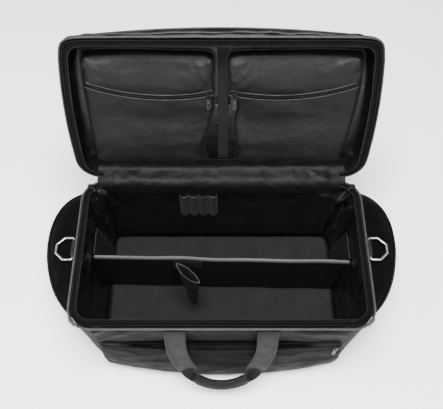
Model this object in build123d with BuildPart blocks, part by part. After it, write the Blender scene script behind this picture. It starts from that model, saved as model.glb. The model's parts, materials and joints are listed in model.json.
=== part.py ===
"""Open soft-sided equipment bag: tub, hinged tray lid, divider, pockets, zippers, rings and carry handles.

Millimetres. The origin is the centre of the tub's bottom face, +Z is up and the front is towards -Y.
"""

import os
from math import asin, atan2, cos, radians, sin

from build123d import *

os.makedirs("parts", exist_ok=True)

# Tub: a rounded box, a little wider at its mouth than at its base
mouth_width = 540
mouth_depth = 298
base_width = 488
base_depth = 292
rim_height = 225
mouth_radius = 38
base_radius = 26
wall = 4
lining = 0.8
panel_split = 212

# Base board
board_width = 470
board_depth = 277
board_radius = 9
board_thickness = 3
board_z = wall + lining + 0.2

# Rim: zipper tape, its coil, and the piping below it; all three stop at the hinge
tape_width = 14
tape_thickness = 1.2
coil_width = 3
coil_thickness = 2
piping_radius = 2.5
piping_drop = 3.5
hinge_half = 232

# Lid: a shallow tray, open 107 degrees, hinged just behind the back wall
hinge_y = mouth_depth / 2 + 3
hinge_z = rim_height + 5
open_angle = 107
lid_rim = 5
lid_depth = 47
lid_wall = 3
along_lid = Vector(0, -cos(radians(open_angle)), sin(radians(open_angle)))
out_of_lid = Vector(0, sin(radians(open_angle)), cos(radians(open_angle)))
lid_middle = Vector(0, hinge_y, hinge_z) + along_lid * (mouth_depth / 2 + 3)

# Pockets inside the lid
pocket_inner = 8
pocket_outer = 250
pocket_low = -144
pocket_high = 108
pocket_face = 24
pocket_back = 46
arc_radius = 386
arc_offset = 102
arc_low = 23

# Divider across the tub, slightly skewed
divider_y = 18
divider_skew = 1.3
divider_low = board_z + board_thickness + 0.4
divider_top = 150
divider_thickness = 4
wing_top = 60
wing_foot = 78

# Carry handles: two straps and a folded grip in one leaning plane
web_width = 38
web_thickness = 3
strap_spread = 83
front_fold = (0, -154.5, 213)
rear_fold = (0, 155.5, 196)
front_lean = 17
rear_lean = 10

# Side rings
ring_wire = 2.25
ring_y = 12
ring_x = 281
ring_z = 205
ring_half = 22.5
ring_reach = 32
ring_shoulder = 17.6
ring_nose_half = 9


def save(builder, name):
    """Labels a finished sub-part and writes it."""
    builder.part.label = name
    export_step(builder.part, f"parts/{name}.step")


def at_height(height):
    """Width, depth and corner radius of the tub's outside at a height."""
    share = height / rim_height
    width = base_width + share * (mouth_width - base_width)
    depth = base_depth + share * (mouth_depth - base_depth)
    return width, depth, base_radius + share * (mouth_radius - base_radius)


def tub_solid(inset, low, high):
    """The tub's full volume between two heights, inset from its outside."""
    with BuildPart() as solid:
        for height in (low, high):
            width, depth, radius = at_height(height)
            with BuildSketch(Plane.XY.offset(height)):
                RectangleRounded(width - 2 * inset, depth - 2 * inset, radius - inset)
        loft(ruled=True)
    return solid.part


tub_outside = tub_solid(0, 0, rim_height)
walls_inside = tub_solid(wall, wall, rim_height)


# ---------- tub panels ----------

def tub_panel(name, middle, size):
    """One sewn wall of the tub, cut out of the whole ring of walls by a box."""
    with BuildPart() as panel:
        add(tub_solid(0, wall, rim_height))
        add(walls_inside, mode=Mode.SUBTRACT)
        with Locations(middle):
            Box(*size, mode=Mode.INTERSECT)
    save(panel, name)


end_reach = 100
tub_panel("front_panel", (0, -mouth_depth / 2, rim_height / 2), (2 * panel_split, 120, 300))
tub_panel("back_panel", (0, mouth_depth / 2, rim_height / 2), (2 * panel_split, 120, 300))
for side, word in ((-1, "left"), (1, "right")):
    middle = (side * (panel_split + end_reach / 2), 0, rim_height / 2)
    tub_panel(f"{word}_end_panel", middle, (end_reach, 400, 300))

with BuildPart() as bottom_panel:
    add(tub_solid(0, 0, wall))
save(bottom_panel, "bottom_panel")

with BuildPart() as body_lining:
    add(walls_inside)
    add(tub_solid(wall + lining, wall + lining, rim_height), mode=Mode.SUBTRACT)
save(body_lining, "body_lining")

with BuildPart() as base_board:
    with BuildSketch(Plane.XY.offset(board_z)):
        RectangleRounded(board_width, board_depth, board_radius)
    extrude(amount=board_thickness)
save(base_board, "base_board")


# ---------- rims of the tub and of the lid ----------

def lid_plane(depth):
    """Plane across the lid at a depth out of its hinge plane: x right, y towards the lid's front edge."""
    return Plane(origin=lid_middle + out_of_lid * depth, x_dir=(1, 0, 0), z_dir=out_of_lid * -1)


def rim_zipper(name, plane, hinge_side):
    """Half of the main zipper: a flat tape inside the rim with a coil on its inner edge, open at the hinge."""
    with BuildPart() as zipper:
        for inset, width, thickness in ((0, tape_width, tape_thickness),
                                        (tape_width - coil_width, coil_width, coil_thickness)):
            with BuildSketch(plane):
                for grow, mode in ((inset, Mode.ADD), (inset + width, Mode.SUBTRACT)):
                    RectangleRounded(mouth_width - 2 * grow, mouth_depth - 2 * grow,
                                     mouth_radius - grow, mode=mode)
                with Locations((0, hinge_side * mouth_depth / 2)):
                    Rectangle(2 * hinge_half, mouth_depth / 2, mode=Mode.SUBTRACT)
            extrude(amount=thickness)
    save(zipper, name)


def rim_piping(name, plane, hinge_side):
    """Round piping sewn outside the rim, ending where the hinge begins."""
    x = mouth_width / 2 + piping_radius + 0.1
    y = mouth_depth / 2 + piping_radius + 0.1
    back = hinge_side * y
    with BuildPart() as piping:
        with BuildLine(plane) as path:
            FilletPolyline((-hinge_half, back), (-x, back), (-x, -back), (x, -back), (x, back),
                           (hinge_half, back), radius=mouth_radius + piping_radius)
        with BuildSketch(Plane(origin=path.line @ 0, z_dir=path.line % 0)):
            Circle(piping_radius)
        sweep(path=path.line)
    save(piping, name)


rim_zipper("rim_zipper", Plane.XY.offset(rim_height), 1)
rim_piping("rim_piping", Plane.XY.offset(rim_height - piping_drop), 1)
rim_zipper("lid_zipper", lid_plane(lid_rim), -1)
rim_piping("lid_piping", lid_plane(lid_rim + piping_drop), -1)

hinge_thickness = 2.4
hinge_height = 30
with BuildPart() as hinge_strip:
    with BuildSketch(Plane.YZ.offset(-hinge_half)):
        with Locations((mouth_depth / 2 + hinge_thickness / 2 + 0.1, hinge_z - 1 - hinge_height / 2)):
            Rectangle(hinge_thickness, hinge_height)
    extrude(amount=2 * hinge_half)
    fillet(hinge_strip.faces().sort_by(Axis.Z)[-1].edges().filter_by(Axis.X), hinge_thickness / 2 - 0.1)
save(hinge_strip, "hinge_strip")


# ---------- lid shell ----------

def lid_block(inset, low, high):
    """The lid's volume between two depths, inset from its outside."""
    with BuildPart() as block:
        with BuildSketch(lid_plane(high)):
            RectangleRounded(mouth_width - 2 * inset, mouth_depth - 2 * inset, mouth_radius - inset)
        extrude(amount=high - low)
    return block.part


lid_back = lid_rim + lid_depth
gusset_back = lid_back - lid_wall


def lid_gusset(name, middle, size):
    """One side of the lid's gusset."""
    with BuildPart() as gusset:
        add(lid_block(0, lid_rim, gusset_back))
        add(lid_block(lid_wall, lid_rim, gusset_back), mode=Mode.SUBTRACT)
        with BuildSketch(lid_plane(lid_back)):
            with Locations(middle):
                Rectangle(*size)
        extrude(amount=2 * lid_depth, mode=Mode.INTERSECT)
    save(gusset, name)


for word, direction in (("back", -1), ("front", 1)):
    middle = (0, direction * mouth_depth / 2)
    lid_gusset(f"lid_gusset_{word}", middle, (2 * panel_split, 60))
for side, word in ((-1, "left"), (1, "right")):
    middle = (side * (panel_split + end_reach / 2), 0)
    lid_gusset(f"lid_gusset_{word}", middle, (end_reach, 400))

with BuildPart() as lid_panel:
    add(lid_block(0, gusset_back, lid_back))
save(lid_panel, "lid_panel")

lid_lining_inset = lid_wall + lining
with BuildPart() as lid_board:
    add(lid_block(lid_lining_inset + 8, pocket_back + 0.8, gusset_back))
save(lid_board, "lid_board")

with BuildPart() as lid_lining:
    add(lid_block(lid_wall, lid_rim, gusset_back))
    add(lid_block(lid_lining_inset, lid_rim, pocket_back), mode=Mode.SUBTRACT)
    add(lid_board.part, mode=Mode.SUBTRACT)
save(lid_lining, "lid_lining")

strip_half = 6.5
with BuildPart() as lid_strip:
    with BuildSketch(lid_plane(pocket_back)):
        with Locations((0, -8)):
            Rectangle(2 * strip_half, 256)
    extrude(amount=1.5)
save(lid_strip, "lid_strip")


# ---------- lid pockets, each with a curved zipper across it ----------

zip_half = 11
coil_half = 1.8
tape_lift = 1.2
coil_lift = 1.4


def pocket_middle(side):
    return side * (pocket_inner + pocket_outer) / 2


def arc_centre(side):
    """Centre of a pocket zipper's arc, in the lid's plane."""
    return side * arc_offset, arc_low + arc_radius


def lid_pocket(side, word):
    """A flat pouch sewn on the lid's lining."""
    with BuildPart() as pocket:
        with BuildSketch(lid_plane(pocket_back)):
            with Locations((pocket_middle(side), (pocket_low + pocket_high) / 2)):
                RectangleRounded(pocket_outer - pocket_inner, pocket_high - pocket_low, 10)
        extrude(amount=pocket_back - pocket_face)
        face = pocket.faces().sort_by(SortBy.AREA)[-2:].sort_by(Axis.Y)[0]
        chamfer(face.edges(), 6)
    save(pocket, f"lid_pocket_{word}")


def lid_pocket_zipper(side, word):
    """Tape and coil of a pocket's zipper, a band about a far centre clipped to the pocket's width."""
    with BuildPart() as zipper:
        for half, low, high in ((zip_half, 0, tape_lift), (coil_half, tape_lift, tape_lift + coil_lift)):
            with BuildSketch(lid_plane(pocket_face - low)):
                with Locations(arc_centre(side)):
                    Circle(arc_radius + half)
                    Circle(arc_radius - half, mode=Mode.SUBTRACT)
                with Locations((pocket_middle(side), 50)):
                    Rectangle(pocket_outer - pocket_inner - 14, 120, mode=Mode.INTERSECT)
            extrude(amount=high - low)
    save(zipper, f"lid_pocket_zipper_{word}")


for side, word in ((-1, "left"), (1, "right")):
    lid_pocket(side, word)
    lid_pocket_zipper(side, word)


# ---------- zipper sliders and pulls ----------

slider_length = 9
slider_width = 12
slider_gap = 0.3
slider_height = 4.6
pull_width = 6
pull_length = 24
pull_thickness = 1.4
pull_drop = 9.8
pull_lift = 4


def slider(plane):
    """Slider over a coil: its plane lies on the tape, x along the zipper."""
    channel = coil_lift + slider_gap
    with BuildPart() as block:
        with BuildSketch(plane.offset(slider_gap)):
            RectangleRounded(slider_length, slider_width, 2.5)
        extrude(amount=slider_height)
        with BuildSketch(plane):
            Rectangle(slider_length + 2, 2 * coil_half + 1.6)
        extrude(amount=channel, mode=Mode.SUBTRACT)
    return block.part


def pull(name, plane):
    """Flat metal pull hanging below its slider; its eye is centred on the hinge axis."""
    with BuildPart() as tab:
        with BuildSketch(plane.offset(pull_lift - pull_thickness / 2)):
            with Locations((0, -pull_drop - pull_length / 2 + pull_width / 2)):
                RectangleRounded(pull_width, pull_length, pull_width / 2 - 0.1)
            with Locations((0, -pull_drop)):
                Circle(1.4, mode=Mode.SUBTRACT)
            with Locations((0, -pull_drop - pull_length + 2 * pull_width)):
                SlotCenterToCenter(5, 2.4, rotation=90, mode=Mode.SUBTRACT)
        extrude(amount=pull_thickness)
    save(tab, name)


def lid_slider_place(side):
    """Centre of a lid slider on its tape, and the zipper's direction there."""
    x = side * (pocket_inner + 16)
    centre_x, centre_y = arc_centre(side)
    turn = asin((x - centre_x) / arc_radius)
    y = centre_y - arc_radius * cos(turn)
    place = lid_plane(pocket_face - tape_lift).from_local_coords(Vector(x, y, 0))
    return place, Vector(cos(turn), 0, 0) + along_lid * sin(turn)


for side, word in ((-1, "left"), (1, "right")):
    place, direction = lid_slider_place(side)
    with BuildPart() as lid_slider:
        add(slider(Plane(origin=place, x_dir=direction, z_dir=out_of_lid * -1)))
    save(lid_slider, f"lid_slider_{word}")
    pull(f"lid_pull_{word}", Plane(origin=place, x_dir=(1, 0, 0), z_dir=out_of_lid * -1))


# ---------- front pocket, bulging forward across the tub's front ----------

front_zip_z = 130
front_half = 230
front_bulge = 160
# Plan sections of the front pocket: height, half width, Y at its sides and Y at its middle
front_levels = ((5, 222, 151, 170), (35, 232, 155, 181), (80, 233, 154, 173),
                (front_zip_z - 7, front_half, 150, front_bulge), (front_zip_z + 12, 224, 148, 153))
front_inside_y = 120


def bowed_section(plane_z, half, side_y, front_y):
    """Plan outline from inside the front wall out to a bowed front."""
    with BuildSketch(Plane.XY.offset(plane_z)) as section:
        with BuildLine():
            ThreePointArc((-half, -side_y), (0, -front_y), (half, -side_y))
            Polyline((half, -side_y), (half, -front_inside_y), (-half, -front_inside_y), (-half, -side_y))
        make_face()
    return section.sketch


def bowed_solid(shrink):
    """The front pocket's volume, drawn in by its cloth thickness on the inside."""
    last = len(front_levels) - 1
    with BuildPart() as solid:
        for index, (height, half, side_y, front_y) in enumerate(front_levels):
            lift = shrink if index == 0 else -shrink if index == last else 0
            add(bowed_section(height + lift, half - shrink, side_y - shrink, front_y - shrink))
        loft(ruled=True)
    return solid.part


cloth = 2
front_outside = bowed_solid(0)
with BuildPart() as front_pocket:
    add(front_outside)
    add(bowed_solid(cloth), mode=Mode.SUBTRACT)
    add(tub_outside, mode=Mode.SUBTRACT)
save(front_pocket, "front_pocket")

zip_front = 163.5
zip_radius = 2400
with BuildPart() as front_zipper:
    for half, low, high in ((8, 0, tape_lift), (coil_half, tape_lift, tape_lift + coil_lift)):
        with BuildSketch(Plane.XY.offset(front_zip_z - half)):
            with Locations((0, zip_radius - zip_front)):
                Circle(zip_radius + high)
                Circle(zip_radius + low, mode=Mode.SUBTRACT)
            with Locations((0, -zip_front)):
                Rectangle(2 * front_half - 10, 40, mode=Mode.INTERSECT)
        extrude(amount=2 * half)
save(front_zipper, "front_zipper")

front_slider_x = 212
front_turn = asin(front_slider_x / zip_radius)
front_slider_place = Vector(front_slider_x, zip_radius - zip_front - (zip_radius + tape_lift) * cos(front_turn),
                            front_zip_z)
front_out = Vector(sin(front_turn), -cos(front_turn), 0)
with BuildPart() as front_slider:
    add(slider(Plane(origin=front_slider_place, x_dir=Vector(0, 0, 1).cross(front_out) * -1, z_dir=front_out)))
save(front_slider, "front_slider")
pull("front_pull", Plane(origin=front_slider_place, x_dir=front_out.cross(Vector(0, 0, 1)) * -1, z_dir=front_out))


# ---------- end pockets, swelling out of the tub's ends ----------

# Plan sections of an end pocket: height, furthest X, the Y where it is furthest, lowest Y and highest Y
end_levels = ((5, 318, 40, -80, 142), (60, 350, 45, -98, 160), (115, 356, 50, -116, 167),
              (165, 345, 48, -130, 164), (190, 332, 45, -134, 156), (198, 316, 40, -124, 142))
end_middle = 230
end_front_power = 1.9
end_rear_power = 2.6
end_zip_z = 169
end_zip_half = 5
end_zip_lift = 1.6
end_start = 238


def end_point(turn, reach, fullest, front, rear, shrink):
    """Point on a right end pocket's outline: -90 degrees at its front, 0 where it is fullest, 90 at its rear."""
    span = rear - fullest if turn > 0 else fullest - front
    power = end_rear_power if turn > 0 else end_front_power
    x = (reach - end_middle - shrink) * abs(cos(radians(turn))) ** (2 / power)
    y = (span - shrink) * abs(sin(radians(turn))) ** (2 / power)
    return end_middle + x, fullest + (y if turn > 0 else -y)


def end_section(side, height, outline, shrink):
    """Plan section of an end pocket, full towards its rear and tapered towards its front."""
    points = []
    for turn in range(-90, 91, 10):
        x, y = end_point(turn, *outline, shrink)
        points.append((side * x, y))
    with BuildSketch(Plane.XY.offset(height)) as section:
        with BuildLine():
            Spline(*points)
            Line(points[-1], points[0])
        make_face()
    return section.sketch


def beyond_end(side):
    """Box that keeps only what lies outside an end of the tub."""
    with BuildPart() as region:
        with Locations((side * (end_start + 100), 0, rim_height / 2)):
            Box(200, 600, 400)
    return region.part


def end_solid(side, shrink):
    """An end pocket's volume, drawn in by its cloth thickness on the inside."""
    last = len(end_levels) - 1
    with BuildPart() as solid:
        for index, (height, *outline) in enumerate(end_levels):
            lift = shrink if index == 0 else -shrink if index == last else 0
            add(end_section(side, height + lift, outline, shrink))
        loft(ruled=True)
    return solid.part


for side, word in ((-1, "left"), (1, "right")):
    outside = end_solid(side, 0)
    with BuildPart() as end_pocket:
        add(outside)
        add(end_solid(side, cloth), mode=Mode.SUBTRACT)
        add(tub_outside, mode=Mode.SUBTRACT)
        add(beyond_end(side), mode=Mode.INTERSECT)
    save(end_pocket, f"{word}_end_pocket")

    with BuildPart() as end_zipper:
        add(end_section(side, end_zip_z - end_zip_half, end_levels[3][1:], -end_zip_lift))
        extrude(amount=2 * end_zip_half)
        add(outside, mode=Mode.SUBTRACT)
        add(tub_outside, mode=Mode.SUBTRACT)
        add(beyond_end(side), mode=Mode.INTERSECT)
    save(end_zipper, f"{word}_end_zipper")


# ---------- sliders that stay parked at the zippers' ends, each with its own pull ----------

main_slider_x = 256
main_slider_y = 134
main_slider_lift = 2.2
main_slider_height = 5
main_pull_z = 229
main_pull_inset = 17
end_slider_turn = -65
end_pull_gap = 0.5

with BuildPart() as main_sliders:
    with BuildSketch(Plane.XY.offset(rim_height + main_slider_lift)):
        with Locations((-main_slider_x, main_slider_y), (main_slider_x, main_slider_y)):
            RectangleRounded(slider_width, slider_width, 2.5)
    extrude(amount=main_slider_height)
save(main_sliders, "main_sliders")


def end_slider_place(side):
    """Point on an end zipper where its slider is parked, and the outward direction there."""
    before = Vector(*end_point(end_slider_turn - 1, *end_levels[3][1:], -end_zip_lift))
    after = Vector(*end_point(end_slider_turn + 1, *end_levels[3][1:], -end_zip_lift))
    along = (after - before).normalized()
    middle = (before + after) / 2
    return Vector(side * middle.X, middle.Y, end_zip_z), Vector(side * along.Y, -along.X, 0)


with BuildPart() as end_sliders:
    for side in (-1, 1):
        place, outward = end_slider_place(side)
        with BuildSketch(Plane(origin=place + outward * slider_gap, z_dir=outward,
                               x_dir=Vector(0, 0, 1).cross(outward))):
            RectangleRounded(slider_length, slider_width, 2.5)
        extrude(amount=slider_height)
save(end_sliders, "end_sliders")

for side, word in ((-1, "left"), (1, "right")):
    corner = Vector(side * (mouth_width / 2 - mouth_radius), mouth_depth / 2 - mouth_radius, main_pull_z)
    inward = Vector(-side, -1, 0).normalized()
    reach = mouth_radius - main_pull_inset
    pull(f"{word}_main_pull",
         Plane(origin=corner - inward * (reach + pull_lift) + Vector(0, 0, pull_drop),
               z_dir=inward, x_dir=Vector(0, 0, 1).cross(inward)))
    place, outward = end_slider_place(side)
    pull(f"{word}_end_pull",
         Plane(origin=place + outward * end_pull_gap, x_dir=Vector(0, 0, 1).cross(outward), z_dir=outward))


# ---------- side rings and their webbing tabs ----------

tab_half = 17
tab_bore = ring_wire + 0.3
tab_outer = tab_bore + 2
wall_at_ring = at_height(ring_z)[0] / 2

for side, word in ((-1, "left"), (1, "right")):
    with BuildPart() as ring:
        with BuildLine(Plane(origin=(side * ring_x, ring_y, ring_z), x_dir=(side, 0, 0), z_dir=(0, 0, 1))) as path:
            FilletPolyline((0, -ring_half), (0, ring_half), (ring_shoulder, ring_half),
                           (ring_reach, ring_nose_half), (ring_reach, -ring_nose_half),
                           (ring_shoulder, -ring_half), radius=3.5, close=True)
        with BuildSketch(Plane(origin=path.line @ 0, z_dir=path.line % 0)):
            Circle(ring_wire)
        sweep(path=path.line)
    save(ring, f"{word}_ring")

    with BuildPart() as ring_tab:
        with BuildSketch(Plane.XZ.offset(-ring_y - tab_half)):
            with Locations((side * ring_x, ring_z)):
                Circle(tab_outer)
            with Locations((side * (wall_at_ring + ring_x) / 2, ring_z)):
                Rectangle(ring_x - wall_at_ring, 3)
            with Locations((side * ring_x, ring_z)):
                Circle(tab_bore, mode=Mode.SUBTRACT)
        extrude(amount=2 * tab_half)
        add(tub_outside, mode=Mode.SUBTRACT)
    save(ring_tab, f"{word}_ring_tab")


# ---------- carry handles ----------

def handle_plane(fold, lean, side):
    """Plane of a hanging handle: x right, y up along the straps, z out of the bag."""
    up = Vector(0, -side * sin(radians(lean)), cos(radians(lean)))
    return Plane(origin=fold, x_dir=(-side, 0, 0), z_dir=up.cross(Vector(side, 0, 0)))


grip_half = 8
grip_top = -158
grip_bottom = -187
grip_upper = (48, -136)
grip_lower = (66, -158)
# Right strap, down its inner edge and back up its outer edge
strap_outline = ((64, 0), (62, -57), (44, -118), (44, -136), (72, -158), (82, -124), (101, -57), (102, 0))


def carry_handle(name, plane):
    """Two webbing straps that draw together into one folded grip."""
    with BuildPart() as grip:
        with BuildSketch(plane.offset(-grip_half)):
            with BuildLine():
                ThreePointArc((-grip_upper[0], grip_upper[1]), (0, grip_top), grip_upper)
                Line(grip_upper, grip_lower)
                ThreePointArc(grip_lower, (0, grip_bottom), (-grip_lower[0], grip_lower[1]))
                Line((-grip_lower[0], grip_lower[1]), (-grip_upper[0], grip_upper[1]))
            make_face()
        extrude(amount=2 * grip_half)
        chamfer(grip.faces().sort_by(SortBy.AREA)[-2:].edges(), grip_half / 2)
    save(grip, f"{name}_grip")
    with BuildPart() as straps:
        for side in (-1, 1):
            with BuildSketch(plane.offset(-web_thickness / 2)):
                with BuildLine():
                    Polyline(*((side * x, y) for x, y in strap_outline), close=True)
                make_face()
            extrude(amount=web_thickness)
        add(grip.part, mode=Mode.SUBTRACT)
    save(straps, f"{name}_straps")


carry_handle("front", handle_plane(front_fold, front_lean, -1))
carry_handle("rear", handle_plane(rear_fold, rear_lean, 1))

anchor_height = 66
anchor_thickness = 2
for name, side, fold in (("front", -1, front_fold), ("rear", 1, rear_fold)):
    with BuildPart() as anchors:
        top = side * (at_height(fold[2])[1] / 2 + 0.05)
        with BuildSketch(Plane.XY.offset(fold[2] - 1)):
            with Locations((-strap_spread, top + side * anchor_thickness / 2),
                           (strap_spread, top + side * anchor_thickness / 2)):
                Rectangle(web_width, anchor_thickness)
        extrude(amount=-anchor_height)
    save(anchors, f"{name}_anchors")


# ---------- pen loops on the back wall ----------

pen_pitch = 19.5
pen_outer = 9
pen_inner = 7.6
pen_face = 140.9
pen_middle = -47
pen_low = 118
pen_high = 194
pen_backing = 1.2
pen_backing_margin = 6

with BuildPart() as pen_loops:
    with BuildSketch(Plane.XY.offset(pen_low - pen_backing_margin)):
        with Locations((pen_middle, pen_face + pen_backing / 2)):
            Rectangle(4 * pen_pitch, pen_backing)
    extrude(amount=pen_high - pen_low + 2 * pen_backing_margin)
    with BuildSketch(Plane.XY.offset(pen_low)):
        with Locations((pen_middle, pen_face)):
            with GridLocations(pen_pitch, 0, 4, 1):
                Circle(pen_outer)
                Circle(pen_inner, mode=Mode.SUBTRACT)
        with Locations((pen_middle, pen_face + pen_outer)):
            Rectangle(5 * pen_pitch, 2 * pen_outer, mode=Mode.SUBTRACT)
    extrude(amount=pen_high - pen_low)
save(pen_loops, "pen_loops")


# ---------- divider ----------

skew = radians(divider_skew)
slope = (mouth_width - base_width) / 2 / rim_height
wing_tilt = atan2(slope, 1)
front_of_divider = Vector(-sin(skew), -cos(skew), 0)
side_clearance = 1.5


def inner_half(height):
    """Half the width left inside the lining at a height, less a little clearance."""
    return at_height(height)[0] / 2 - wall - lining - side_clearance


def divider_plane(forward):
    """Upright plane of the divider, moved forward of its middle."""
    return Plane(origin=Vector(0, divider_y, 0) + front_of_divider * forward,
                 x_dir=(cos(skew), -sin(skew), 0), z_dir=front_of_divider)


def divider_slab(low, high, thickness):
    """A slice of the divider between two heights."""
    with BuildPart() as slab:
        with BuildSketch(divider_plane(-thickness / 2)):
            with BuildLine():
                Polyline((-inner_half(low), low), (inner_half(low), low), (inner_half(high), high),
                         (-inner_half(high), high), close=True)
            make_face()
        extrude(amount=thickness)
    return slab.part


binding_depth = 9
binding_half = 3.2
with BuildPart() as divider_panel:
    add(divider_slab(divider_low, divider_top - 1.2, divider_thickness))
save(divider_panel, "divider_panel")

with BuildPart() as divider_binding:
    add(divider_slab(divider_top - binding_depth, divider_top, 2 * binding_half))
    add(divider_panel.part, mode=Mode.SUBTRACT)
save(divider_binding, "divider_binding")

wing_thickness = 3
for side, word in ((-1, "left"), (1, "right")):
    start = divider_y - side * inner_half(divider_top) * sin(skew) + 5
    origin = (side * (inner_half(divider_low) + 0.5), start, divider_low)
    with BuildPart() as wing:
        with BuildSketch(Plane(origin=origin, x_dir=(0, -side, 0),
                               z_dir=(-side * cos(wing_tilt), 0, sin(wing_tilt)))):
            with BuildLine():
                Polyline((0, 4), (0, divider_top - divider_low),
                         (-side * wing_top, divider_top - divider_low - 2), (-side * wing_foot, 4),
                         close=True)
            make_face()
        extrude(amount=wing_thickness)
    save(wing, f"divider_{word}_wing")


# ---------- holster hung from the divider ----------

holster_top = Vector(-66, -13, divider_top - 1)
holster_tip = Vector(-58, -36, 62)
holster_turn = -42
holster_mouth = (31, 9.5)
holster_end = (9, 6)
holster_cloth = 1.8


def cone(grow, drop):
    """Leaning cone of the holster with a leaf-shaped mouth."""
    with BuildPart() as solid:
        for centre, (long_half, short_half) in ((holster_tip, holster_end), (holster_top, holster_mouth)):
            with BuildSketch(Plane.XY.offset(centre.Z + drop)):
                with Locations(Location((centre.X, centre.Y, 0), (0, 0, holster_turn))):
                    Ellipse(long_half + grow, short_half + grow)
        loft()
    return solid.part


with BuildPart() as divider_holster:
    add(cone(0, 0))
    add(cone(-holster_cloth, 3), mode=Mode.SUBTRACT)
save(divider_holster, "divider_holster")

patch_x = -68
patch_width = 58
patch_height = 30
with BuildPart() as divider_patch:
    with BuildSketch(divider_plane(divider_thickness / 2 + 0.05)):
        with Locations((patch_x, divider_top - binding_depth - 2 - patch_height / 2)):
            Rectangle(patch_width, patch_height)
    extrude(amount=1.2)
    add(divider_holster.part, mode=Mode.SUBTRACT)
save(divider_patch, "divider_patch")
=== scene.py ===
"""Looks of an open soft-sided equipment bag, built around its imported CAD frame. Lengths are metres."""

import json
from math import asin, atan2, cos, pi, radians, sin, sqrt

import bmesh
import bpy
import numpy as np
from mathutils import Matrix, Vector, noise
from mathutils.bvhtree import BVHTree


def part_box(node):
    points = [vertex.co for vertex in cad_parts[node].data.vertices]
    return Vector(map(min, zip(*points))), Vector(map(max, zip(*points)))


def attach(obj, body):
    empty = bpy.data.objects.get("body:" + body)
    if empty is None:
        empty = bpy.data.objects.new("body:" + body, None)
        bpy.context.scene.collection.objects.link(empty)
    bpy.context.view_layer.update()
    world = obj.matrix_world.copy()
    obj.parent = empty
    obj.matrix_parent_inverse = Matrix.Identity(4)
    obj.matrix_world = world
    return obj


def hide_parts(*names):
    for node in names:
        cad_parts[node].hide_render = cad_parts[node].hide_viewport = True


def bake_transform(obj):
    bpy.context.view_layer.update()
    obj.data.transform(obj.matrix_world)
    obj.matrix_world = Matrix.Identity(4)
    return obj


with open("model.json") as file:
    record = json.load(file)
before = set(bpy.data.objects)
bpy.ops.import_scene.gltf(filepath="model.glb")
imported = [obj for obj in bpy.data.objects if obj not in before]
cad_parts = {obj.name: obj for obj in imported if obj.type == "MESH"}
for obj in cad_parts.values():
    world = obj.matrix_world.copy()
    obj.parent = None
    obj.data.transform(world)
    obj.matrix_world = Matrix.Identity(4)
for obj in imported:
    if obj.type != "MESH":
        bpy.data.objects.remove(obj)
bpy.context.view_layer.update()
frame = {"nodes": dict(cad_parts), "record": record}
MM = 0.001

# ---------- places, worked out from the frame ----------

joints = {joint["name"]: joint for joint in frame["record"]["behaviour"]["joints"]}
rim_low, rim_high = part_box("rim_zipper")
mouth_width = rim_high.x - rim_low.x
mouth_depth = rim_high.y - rim_low.y
rim_z = rim_low.z
base_low, base_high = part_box("base_board")
base_width = 488 * MM
base_depth = 292 * MM
mouth_radius = 38 * MM
base_radius = 26 * MM
wall = 4 * MM
piping_radius = 2.5 * MM
piping_drop = 3.5 * MM
hinge_reach = 0.2325  # half the stretch of back edge that the hinge fabric covers

lid_joint = joints["lid_hinge"]
hinge = np.array(lid_joint["pos_m"])
open_turn = radians(lid_joint["range_deg"][1])
along_lid = np.array([0, -cos(open_turn), sin(open_turn)])
out_of_lid = np.array([0, sin(open_turn), cos(open_turn)])
lid_middle = hinge + along_lid * (mouth_depth / 2 + 3 * MM)
lid_rim = 5 * MM
lid_back = 52 * MM


def in_bag(points):
    """The bag's coordinates, which are the frame's own; in_lid's partner."""
    return np.asarray(points, float)


def in_lid(points):
    """From lid coordinates (x right, y towards its front edge, depth outwards) to the frame."""
    p = np.asarray(points, float)
    return (lid_middle + p[..., :1] * np.array([1.0, 0, 0]) + p[..., 1:2] * along_lid
            + p[..., 2:3] * out_of_lid)


# ---------- mesh tools ----------

def folds(points, size, seed, octaves=2):
    """Smooth noise, about -1 to 1, at each point; size is the width of its folds, one number or three."""
    p = np.asarray(points, float) / np.asarray(size, float)
    flat = p.reshape(-1, 3) + np.array([seed * 3.7, seed * 1.3, seed * 7.1])
    values = [noise.fractal(Vector(q), 0.8, 2.1, octaves) for q in flat]
    return np.array(values).reshape(p.shape[:-1])


def ridges(points, size, seed):
    """Sharper, cloth-like creases: 1 on a crease, falling to 0 between."""
    return np.clip(1 - 2.2 * np.abs(folds(points, size, seed, 1)), 0, 1) ** 2


def smooth_step(value, low, high):
    """0 below low, 1 above high, eased between."""
    t = np.clip((np.asarray(value, float) - low) / (high - low), 0, 1)
    return t * t * (3 - 2 * t)


def link(obj):
    """Puts an object in the scene."""
    bpy.context.scene.collection.objects.link(obj)
    return obj


def shade_smooth(obj):
    """Smooth shading on every face."""
    obj.data.polygons.foreach_set("use_smooth", [True] * len(obj.data.polygons))
    return obj


def make_object(name, verts, faces):
    """A smooth-shaded mesh object in the scene."""
    mesh = bpy.data.meshes.new(name)
    mesh.from_pydata([tuple(v) for v in np.asarray(verts).reshape(-1, 3)], [], faces)
    mesh.validate()
    obj = shade_smooth(bpy.data.objects.new(name, mesh))
    mesh.update()
    return link(obj)


def grid_faces(rows, columns, close_rows=False, close_columns=False, start=0):
    """Quads of a grid of points, row by row."""
    faces = []
    for r in range(rows if close_rows else rows - 1):
        for c in range(columns if close_columns else columns - 1):
            a, b = r, (r + 1) % rows
            d, e = c, (c + 1) % columns
            faces.append(tuple(start + i for i in (a * columns + d, a * columns + e,
                                                   b * columns + e, b * columns + d)))
    return faces


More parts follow.
